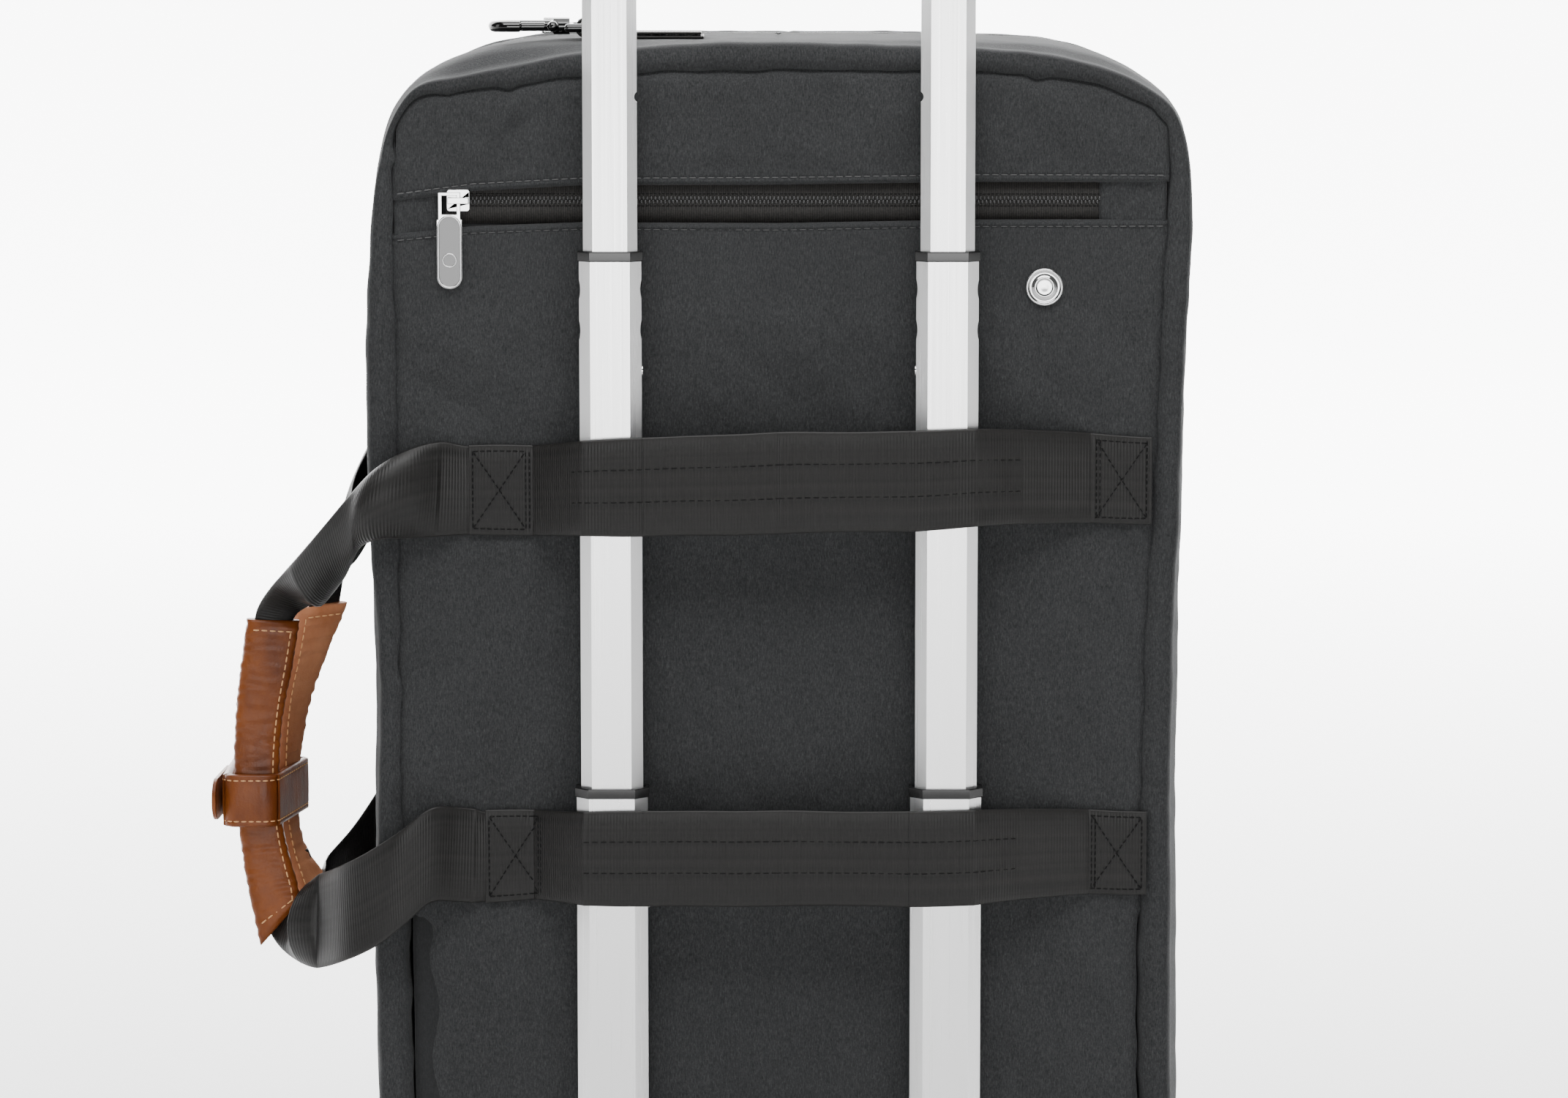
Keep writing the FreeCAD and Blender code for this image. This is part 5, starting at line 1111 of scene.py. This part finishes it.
for name, stations in (("upper", UPPER), ("lower", LOWER)):
    top, low = band_edges(bends(stations), 1000)
    shift = 0.35 * ripple(top[:, :1] * [1, 0], 55, 81)
    top[:, 2] += shift
    low[:, 2] += 0.35 * ripple(low[:, :1] * [1, 0], 48, 82)
    ribbon = Ribbon(top, low, OUTWARDS)
    band = weave(name + "_webbing", ribbon, WEBBING, crumple=0.12)
    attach(band, "bag")
    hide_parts(name + "_band")
    bands[name] = ribbon
print("bands", [round(float(r.length[-1])) for r in bands.values()], "mm long")

# %% Stitching on the bands


def sewn(name, ribbon, places, body, lift=1.0, pitch=2.6, length=1.9, material=THREAD_BLACK, count=60):
    """Thread along straight lines between (length along, q across) places on a ribbon."""
    rows = []
    for (s0, q0), (s1, q1) in places:
        t = np.linspace(0, 1, count)
        row, q = ribbon.row_of(s0 + (s1 - s0) * t), q0 + (q1 - q0) * t
        path, low = ribbon.at(row, q, np.full(count, lift)), ribbon.at(row, q, np.zeros(count))
        rows.append(stitches(name, path, path - low, material, pitch, length, 0.3))
    whole = rows[0]
    with bpy.context.temp_override(active_object=whole, selected_editable_objects=rows):
        bpy.ops.object.join()
    whole.name = name
    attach(whole, body)
    return whole


def cross_box(s0, s1, q):
    """A sewn rectangle with both diagonals and a doubled end."""
    return [((s0, -q), (s1, -q)), ((s0, q), (s1, q)), ((s0, -q), (s0, q)), ((s1, -q), (s1, q)), ((s0, -q), (s1, q)),
            ((s0, q), (s1, -q)), ((s1 + 1.4, -q), (s1 + 1.4, q))]


for name, ribbon in bands.items():
    whole = float(ribbon.length[-1])
    sewn(name + "_left_box", ribbon, cross_box(1.5, 22.5, 0.86), "bag")
    sewn(name + "_right_box", ribbon, cross_box(whole - 2.0, whole - 22.0, 0.86), "bag")
    t0, t1 = 30.0, whole - 32.0
    lines = [((t0 + 18, q), (t1 - 22, q)) for q in (0.36, -0.3)]
    sewn(name + "_length", ribbon, lines, "bag", 0.84, 3.4, 2.4, count=300)
print("bands sewn")

# %% [markdown]
# ## Handle straps
#
# Each free strap leaves its patch, swings out past the edge of the bag and turns into the leather grip. Both its
# edges are drawn as curves in space. The handle can swing, but the straps are fixed meshes that don't follow it.

# %% Handle straps
UP_STRAP = [
    ((-106, -155.5, 412.4), (-106, -155.5, 378.4)), ((-122, -155.8, 413.0), (-122, -155.8, 378.0)),
    ((-134, -158.6, 415.0), (-135.9, -158.8, 377.5)),
    ((-146.1, -163.5, 412.3), (-148.1, -162, 377.3)), ((-158.4, -166, 405.4), (-159.9, -158, 376.1)),
    ((-168.7, -165, 395.0), (-168.0, -146, 370.2)), ((-179.2, -159, 382.5), (-173.8, -134, 358.3)),
    ((-191.9, -147, 367.4), (-180.6, -123, 350.5)), ((-203.2, -133, 354.2), (-188.6, -116, 345.0)),
    ((-210.0, -123.6, 344.0), (-195.2, -118.2, 340.5)), ((-212.0, -121.6, 335.0), (-197.0, -120.0, 333.0)), ((-213.0, -121.2, 326.0), (-199.0, -119.6, 325.0)),
]
LOW_STRAP = [
    ((-102, -155.5, 265.8), (-102, -155.5, 231.0)), ((-116, -155.8, 266.4), (-116, -155.8, 230.4)),
    ((-127.4, -159, 270.1), (-129.2, -160, 229.9)),
    ((-138.0, -165, 269.8), (-138.8, -166, 231.4)), ((-150.3, -167, 262.3), (-149.1, -168, 221.4)),
    ((-163.2, -162, 254.4), (-160.2, -166, 211.5)), ((-175.0, -153, 246.1), (-173.3, -160, 205.3)),
    ((-185.5, -137, 237.5), (-186.7, -142, 200.5)), ((-192.1, -125, 229.5), (-199.0, -127, 203.0)),
    ((-196.6, -118.5, 226.4), (-206.3, -119.5, 209.5)), ((-198.3, -118.5, 233.0), (-208.5, -119.5, 218.0)), ((-200.0, -119.0, 242.0), (-210.5, -119.5, 231.0)),
]


def strap(name, stations, hint, width=38.0, rows=560):
    """Webbing between two edge curves given as pairs of points."""
    pairs = spline([np.concatenate(p) for p in stations], rows, by=slice(0, 6))
    chord = np.linalg.norm(pairs[:, :3] - pairs[:, 3:], axis=1)
    t = np.linspace(0, 1, rows)
    gathered = 1.003 + 0.9 * step(t, 0.18, 0.4) * (1 - step(t, 0.55, 0.82))
    ribbon = Ribbon(pairs[:, :3], pairs[:, 3:], hint, np.minimum(width, chord * gathered))
    made = weave(name, ribbon, WEBBING, thick=1.6, pitch=1.25, rib=0.07)
    return made, ribbon


up_strap, up_ribbon = strap("upper_strap", UP_STRAP, (-0.45, -1, 0.2))
low_strap, low_ribbon = strap("lower_strap", LOW_STRAP, (-0.3, -1, -0.1))
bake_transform(up_strap)
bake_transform(low_strap)
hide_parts("rear_straps")
print("rear straps", round(float(up_ribbon.length[-1])), round(float(low_ribbon.length[-1])), "mm")

FRONT_UP = [((-162.9, -39, 414), (-162.9, -39, 378)), ((-163.5, -60, 413), (-163.5, -60, 377)), ((-167, -72, 406), (-166, -72, 371)),
            ((-174, -80, 391), (-173, -88, 359)), ((-177, -84, 372), (-182, -97, 353)), ((-178.5, -87, 352), (-190, -100, 345)), ((-181.5, -90, 334), (-193, -101, 333))]
FRONT_LOW = [((-162.9, -39, 268), (-162.9, -39, 230)), ((-163.5, -60, 266), (-163.5, -60, 228)), ((-168, -74, 258), (-167, -73, 220)),
             ((-176, -84, 247), (-175, -88, 211)), ((-185, -89, 237), (-188, -98, 209)), ((-189.5, -90, 230), (-195, -101, 218)), ((-194, -91, 240), (-199, -101, 238))]
for name, stations in (("front_upper", FRONT_UP), ("front_lower", FRONT_LOW)):
    made, ribbon = strap(name + "_strap", stations, (-1, -0.3, 0), rows=420)
    z = 0.385 if "upper" in name else 0.245
    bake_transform(made)
    sewn(name + "_box", ribbon, cross_box(1.5, 21.0, 0.84), "bag")
    if "upper" in name:
        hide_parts("front_straps")
print("front straps")

# %% [markdown]
# ## Leather grips
#
# Two padded sleeves, each a ribbon with an oval section, hold the webbing. A keeper wraps both, with a round tab.
# The visible seam on each is the leather's edge folded over and sewn; on the keeper a thin raised lap runs beside the
# stitches.

# %% Grips


def sleeve(name, edges, hint, thick, material, power=0.55, rows=150, around=40, wrinkle=0.25, seed=91):
    """A closed oval sleeve: section (cos^p a, sin^p a), with small wrinkles across it all along its length."""
    pairs = spline([np.concatenate(p) for p in edges], rows, by=slice(0, 6))
    ribbon = Ribbon(pairs[:, :3], pairs[:, 3:], hint)
    a = np.arange(around) * TAU / around
    c = np.sign(np.cos(a)) * np.abs(np.cos(a)) ** power
    s = np.sign(np.sin(a)) * np.abs(np.sin(a)) ** power
    t = np.linspace(0, 1, rows)
    close = 1 - 0.35 * np.exp(-((t / 0.012) ** 2)) - 0.35 * np.exp(-(((1 - t) / 0.012) ** 2))
    half = (ribbon.chord / 2)[:, None]
    base = ribbon.middle[:, None] + ribbon.across[:, None] * (half * c)[..., None] + ribbon.normal[:, None] * (thick / 2 * close[:, None] * s)[..., None]
    push = wrinkle * ripple(base * [1.0, 1.0, 2.2], 9, seed) + 0.5 * wrinkle * ripple(base, 30, seed + 1)
    way = unit(ribbon.across[:, None] * c[None, :, None] + ribbon.normal[:, None] * s[None, :, None])
    made = make_mesh(name, base + way * push[..., None], wrap_faces(rows, around), material)
    return made, ribbon


REAR = [((-214.6, -122, 339.5), (-193.4, -120, 338.5)), ((-216.8, -121, 324), (-196.3, -119, 322.0)), ((-219.2, -120, 304), (-200.2, -118, 303)),
        ((-220.6, -119.5, 285), (-202.2, -118, 285)), ((-220.2, -119.5, 268), (-202.5, -118, 268)), ((-218.9, -119.5, 252), (-201.0, -118, 252)),
        ((-216.9, -120, 237), (-198.4, -118.5, 240)), ((-214.2, -121, 222), (-195.4, -119.5, 230)), ((-210.6, -122, 205.5), (-194.5, -121, 223.5))]
rear, rear_ribbon = sleeve("rear_leather", REAR, (0, -1, 0), 8.6, LEATHER)
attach(rear, "carry_handle")
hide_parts("rear_grip")

FRONT = [((-196.4, -103, 341.5), (-177.0, -89, 341.9)), ((-199.3, -103, 324), (-184.6, -88, 325)), ((-203.2, -103, 305), (-193.0, -87.5, 304)),
         ((-205.2, -103, 286), (-197.2, -87, 286)), ((-205.6, -103, 268), (-199.2, -87, 268)), ((-204.5, -103, 252), (-199.6, -87, 252)),
         ((-202.4, -103, 240), (-196.8, -87.5, 240)), ((-199.4, -103, 230), (-190.2, -88.5, 230.5)), ((-196.5, -103, 221), (-184.6, -89, 223.6))]
front, front_ribbon = sleeve("front_leather", FRONT, (0.8, -0.6, 0), 7.0, LEATHER_INNER, seed=95)
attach(front, "carry_handle")
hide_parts("front_grip")


def leather_rows(name, ribbon, lines, lift, body="carry_handle", hint=None):
    """Tan thread along lines of (fraction, q) pairs on a sleeve."""
    rows = []
    last = len(ribbon.middle) - 1
    for (t0, q0), (t1, q1) in lines:
        t = np.linspace(0, 1, 160)
        row, q = (t0 + (t1 - t0) * t) * last, q0 + (q1 - q0) * t
        number = np.arange(last + 1)
        pick = lambda table: np.stack([np.interp(row, number, c) for c in table.T], -1)
        middle, across, normal = pick(ribbon.middle), pick(ribbon.across), pick(ribbon.normal)
        half = np.interp(row, number, ribbon.chord) / 2
        path = middle + across * (half * q)[:, None] + normal * lift
        rows.append(stitches(name, path, normal * np.sign(lift), THREAD_TAN, 3.3, 2.4, 0.34))
    whole = rows[0]
    with bpy.context.temp_override(active_object=whole, selected_editable_objects=rows):
        bpy.ops.object.join()
    whole.name = name
    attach(whole, body)
    return whole


leather_rows("rear_thread", rear_ribbon, [((0.03, -0.72), (0.97, -0.72)), ((0.03, 0.75), (0.03, -0.72)), ((0.955, 0.75), (0.955, -0.72))], 4.15)
leather_rows("front_thread", front_ribbon, [((0.03, 0.72), (0.97, 0.72)), ((0.03, -0.75), (0.03, 0.75)), ((0.97, -0.75), (0.97, 0.75))], 3.7)
print("grips")

# %% Keeper and tab


def wrap_band(name, corners, z0, z1, thick, material, body, slope=0.0):
    """A band of leather round a rounded rectangle in plan, with soft edges."""
    (x0, x1), (y0, y1) = corners
    r, a = 4.0, np.linspace(0, math.pi / 2, 10)
    path = []
    for cx, cy, start in ((x1 - r, y1 - r, 0), (x0 + r, y1 - r, 1), (x0 + r, y0 + r, 2), (x1 - r, y0 + r, 3)):
        turn = a + start * math.pi / 2
        path += [(cx + r * math.cos(u), cy + r * math.sin(u)) for u in turn]
    path = np.array(path)
    path[:, 0] = x0 + (path[:, 0] - x0) * (1 + slope * (path[:, 1] - y0))
    path = spline(path, 150, closed=True)
    out = unit(np.stack([np.roll(path, -1, 0)[:, 1] - np.roll(path, 1, 0)[:, 1], np.roll(path, 1, 0)[:, 0] - np.roll(path, -1, 0)[:, 0]], -1))
    h = z1 - z0
    prof = [(0, thick * 0.3), (0.5, thick * 0.92), (1.6, thick), (2.4, thick * 0.86), (3.2, thick), (h / 2, thick * 1.05), (h - 3.2, thick),
            (h - 2.4, thick * 0.86), (h - 1.6, thick), (h - 0.5, thick * 0.92), (h, thick * 0.3), (h, 0), (h / 2, 0), (0, 0)]
    z, o = np.array(prof).T
    flat = path[:, None] + out[:, None] * o[None, :, None]
    up = np.broadcast_to(z0 + z, flat.shape[:2])
    points = np.stack([flat[..., 0], flat[..., 1], up], -1)
    made = make_mesh(name, points, wrap_faces(len(path), len(z), closed=True), material)
    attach(made, body)
    rows = []
    for height in (2.4, h - 2.4):
        line = np.concatenate([path, path[:1]])
        line_out = np.concatenate([out, out[:1]])
        xy = line + line_out * (thick * 0.9)
        spot = np.stack([xy[:, 0], xy[:, 1], np.full(len(xy), z0 + height)], -1)
        face = np.stack([line_out[:, 0], line_out[:, 1], np.zeros(len(xy))], -1)
        rows.append(stitches(name + "_thread", spot, face, THREAD_TAN, 3.0, 2.1, 0.32))
    with bpy.context.temp_override(active_object=rows[0], selected_editable_objects=rows):
        bpy.ops.object.join()
    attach(rows[0], body)
    return made


KEEPER_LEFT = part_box("keeper")[0][0] / MM + 2.0
keeper = wrap_band("keeper_band", ((KEEPER_LEFT, -204.4), (-125.2, -79.8)), 255, 276.5, 2.0, LEATHER, "carry_handle", 0.0105)
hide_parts("keeper")
bevelled("soft_keeper_tab", ["keeper_tab"], LEATHER, "keeper_tab", 0.5, 3)
print("keeper")

# %% [markdown]
# ## Top strap
#
# A narrow strap is sewn along the top and folded round the hook's eye.

# %% Top strap
HX, HZ, HR = -77.0, 576.6, 3.4
turn = np.linspace(-math.pi / 2, -math.pi * 1.5 - 1.0, 32)
loop = np.stack([HX + HR * np.cos(turn), HZ + HR * np.sin(turn)], -1)
path = np.concatenate([[(-30, 572.9), (-45, 572.9), (-60, 572.9), (-70, 573.0)], loop, [(-72.2, 575.6), (-68, 574.6), (-56, 574.5), (-45, 574.5), (-31, 574.5)]])
line = spline(path, 420)
a = np.stack([line[:, 0], np.full(len(line), -123.0), line[:, 1]], -1)
b = np.stack([line[:, 0], np.full(len(line), -103.0), line[:, 1]], -1)
delta = np.gradient(line, axis=0)
ribbon = Ribbon(a, b, (0, 0, 1))
ribbon.normal = unit(np.stack([-delta[:, 1], np.zeros(len(line)), delta[:, 0]], -1))
top_webbing = weave("top_webbing", ribbon, WEBBING, thick=1.4, rib=0.08, samples=9)
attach(top_webbing, "bag")
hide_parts("top_strap")
print("top strap")

# %% [markdown]
# ## Studio
#
# A pale sweep stands behind and under the bag. The tubes are mirrors for whatever is in front of them, so the
# biggest light is a soft panel behind the camera: it makes their faces white high up and grey near the floor.
# The backdrop carries painted light and shade: it glows like a lamp, more further back and up, and it is greyer in
# front of the bag, which the tubes mirror low down.

# %% Sweep
profile = [(-16.0, 0.0), (-1.0, 0.0), (4.3, 0.0)]
for angle in np.linspace(0.1, math.pi / 2, 14):
    profile.append((4.3 + 3.8 * math.sin(angle), 3.8 - 3.8 * math.cos(angle)))
profile.append((8.1, 13.5))
line = np.array(profile)
x = np.linspace(-16, 16, 3) * 1000
front = np.stack([np.repeat(x[:, None], len(line), 1), np.repeat(line[None, :, 0] * 1000, 3, 0), np.repeat(line[None, :, 1] * 1000, 3, 0)], -1)
grid = np.stack([front, front + np.array([0, 20, -20])])


def paper_painted_glow():
    """White backdrop, greyer in front of the bag, that glows more further back and up: the grey is painted shade that
    the tubes mirror low down, and the glow is painted light that lights the bag like a lamp.
    """
    s = Shader("paper_painted_glow", grey(0.8), 0.9, specular_ior_level=0.1)
    part = s.node("ShaderNodeSeparateXYZ")
    s.join(s.node("ShaderNodeTexCoord").outputs["Object"], part.inputs[0])
    # painted light: the backdrop emits light, which lights the bag like a lamp
    s.set("Emission Color", (1, 1, 1, 1))
    # painted shade: the colour falls to 0.42 in front of the bag, so the tubes mirror grey near the floor
    s.color(s.ramp(s.math("ADD", part.outputs[1], 0.85), [(0.0, grey(0.42)), (0.9, grey(0.8))]))
    # strength of the painted glow: none in front of the bag, rising further back and higher up
    behind = s.math("MULTIPLY", s.math("SUBTRACT", part.outputs[1], 0.25), 4.0)
    behind.node.use_clamp = True
    climb = s.math("MINIMUM", s.math("MULTIPLY_ADD", part.outputs[1], 2.4, -0.3), 6.9)
    rise = s.math("MULTIPLY_ADD", part.outputs[2], 0.37, climb)
    glow = s.math("MULTIPLY", rise, behind)
    s.join(glow, s.main.inputs["Emission Strength"])
    return s.material


PAPER_PAINTED_GLOW = paper_painted_glow()
painted_glow_sweep = make_mesh("painted_glow_sweep", grid, slab_faces(*front.shape[:2]), PAPER_PAINTED_GLOW)

# %% Lights


def light(name, place, target, size, power, color=(1, 1, 1)):
    """A rectangular area light aimed at a point."""
    lamp = bpy.data.lights.new(name, "AREA")
    lamp.shape = "RECTANGLE"
    lamp.size, lamp.size_y = size
    lamp.energy = power
    lamp.color = color
    obj = bpy.data.objects.new(name, lamp)
    obj.location = place
    back = np.array(place, float) - np.array(target, float)
    from mathutils import Vector
    obj.rotation_euler = Vector(back).to_track_quat("Z", "Y").to_euler()
    obj.visible_camera = False
    bpy.context.scene.collection.objects.link(obj)
    return obj


light("front_panel_light", (0.0, -3.3, 0.5), (0, 0, 0.45), (1.5, 0.95), 34)
light("near_light", (0.0, -0.75, 1.45), (0, -0.15, 0.52), (1.3, 0.5), 16)
light("top_light", (0.0, 0.0, 2.6), (0, 0, 0.3), (2.0, 1.6), 30)
light("left_light", (-2.4, -1.0, 1.1), (0, 0, 0.4), (0.8, 1.8), 7)
light("right_light", (2.4, -0.9, 1.1), (0, 0, 0.4), (0.8, 1.8), 8)
world = bpy.data.worlds.new("studio")
bpy.context.scene.world = world
world.use_nodes = True
world.node_tree.nodes["Background"].inputs["Color"].default_value = (1, 1, 1, 1)
world.node_tree.nodes["Background"].inputs["Strength"].default_value = 0.12
print("lights up")

# %% Camera
from mathutils import Vector
camera = bpy.data.cameras.new("camera")
camera.sensor_width = 36
camera.lens = 121.7
camera.clip_end = 50
eye = bpy.data.objects.new("camera", camera)
eye.location = (0.002, -2.2384, 0.6352)
eye.rotation_euler = (Vector((0, 2.0834, -0.2632))).to_track_quat("-Z", "Y").to_euler()
bpy.context.scene.collection.objects.link(eye)
bpy.context.scene.camera = eye
print("camera ready")
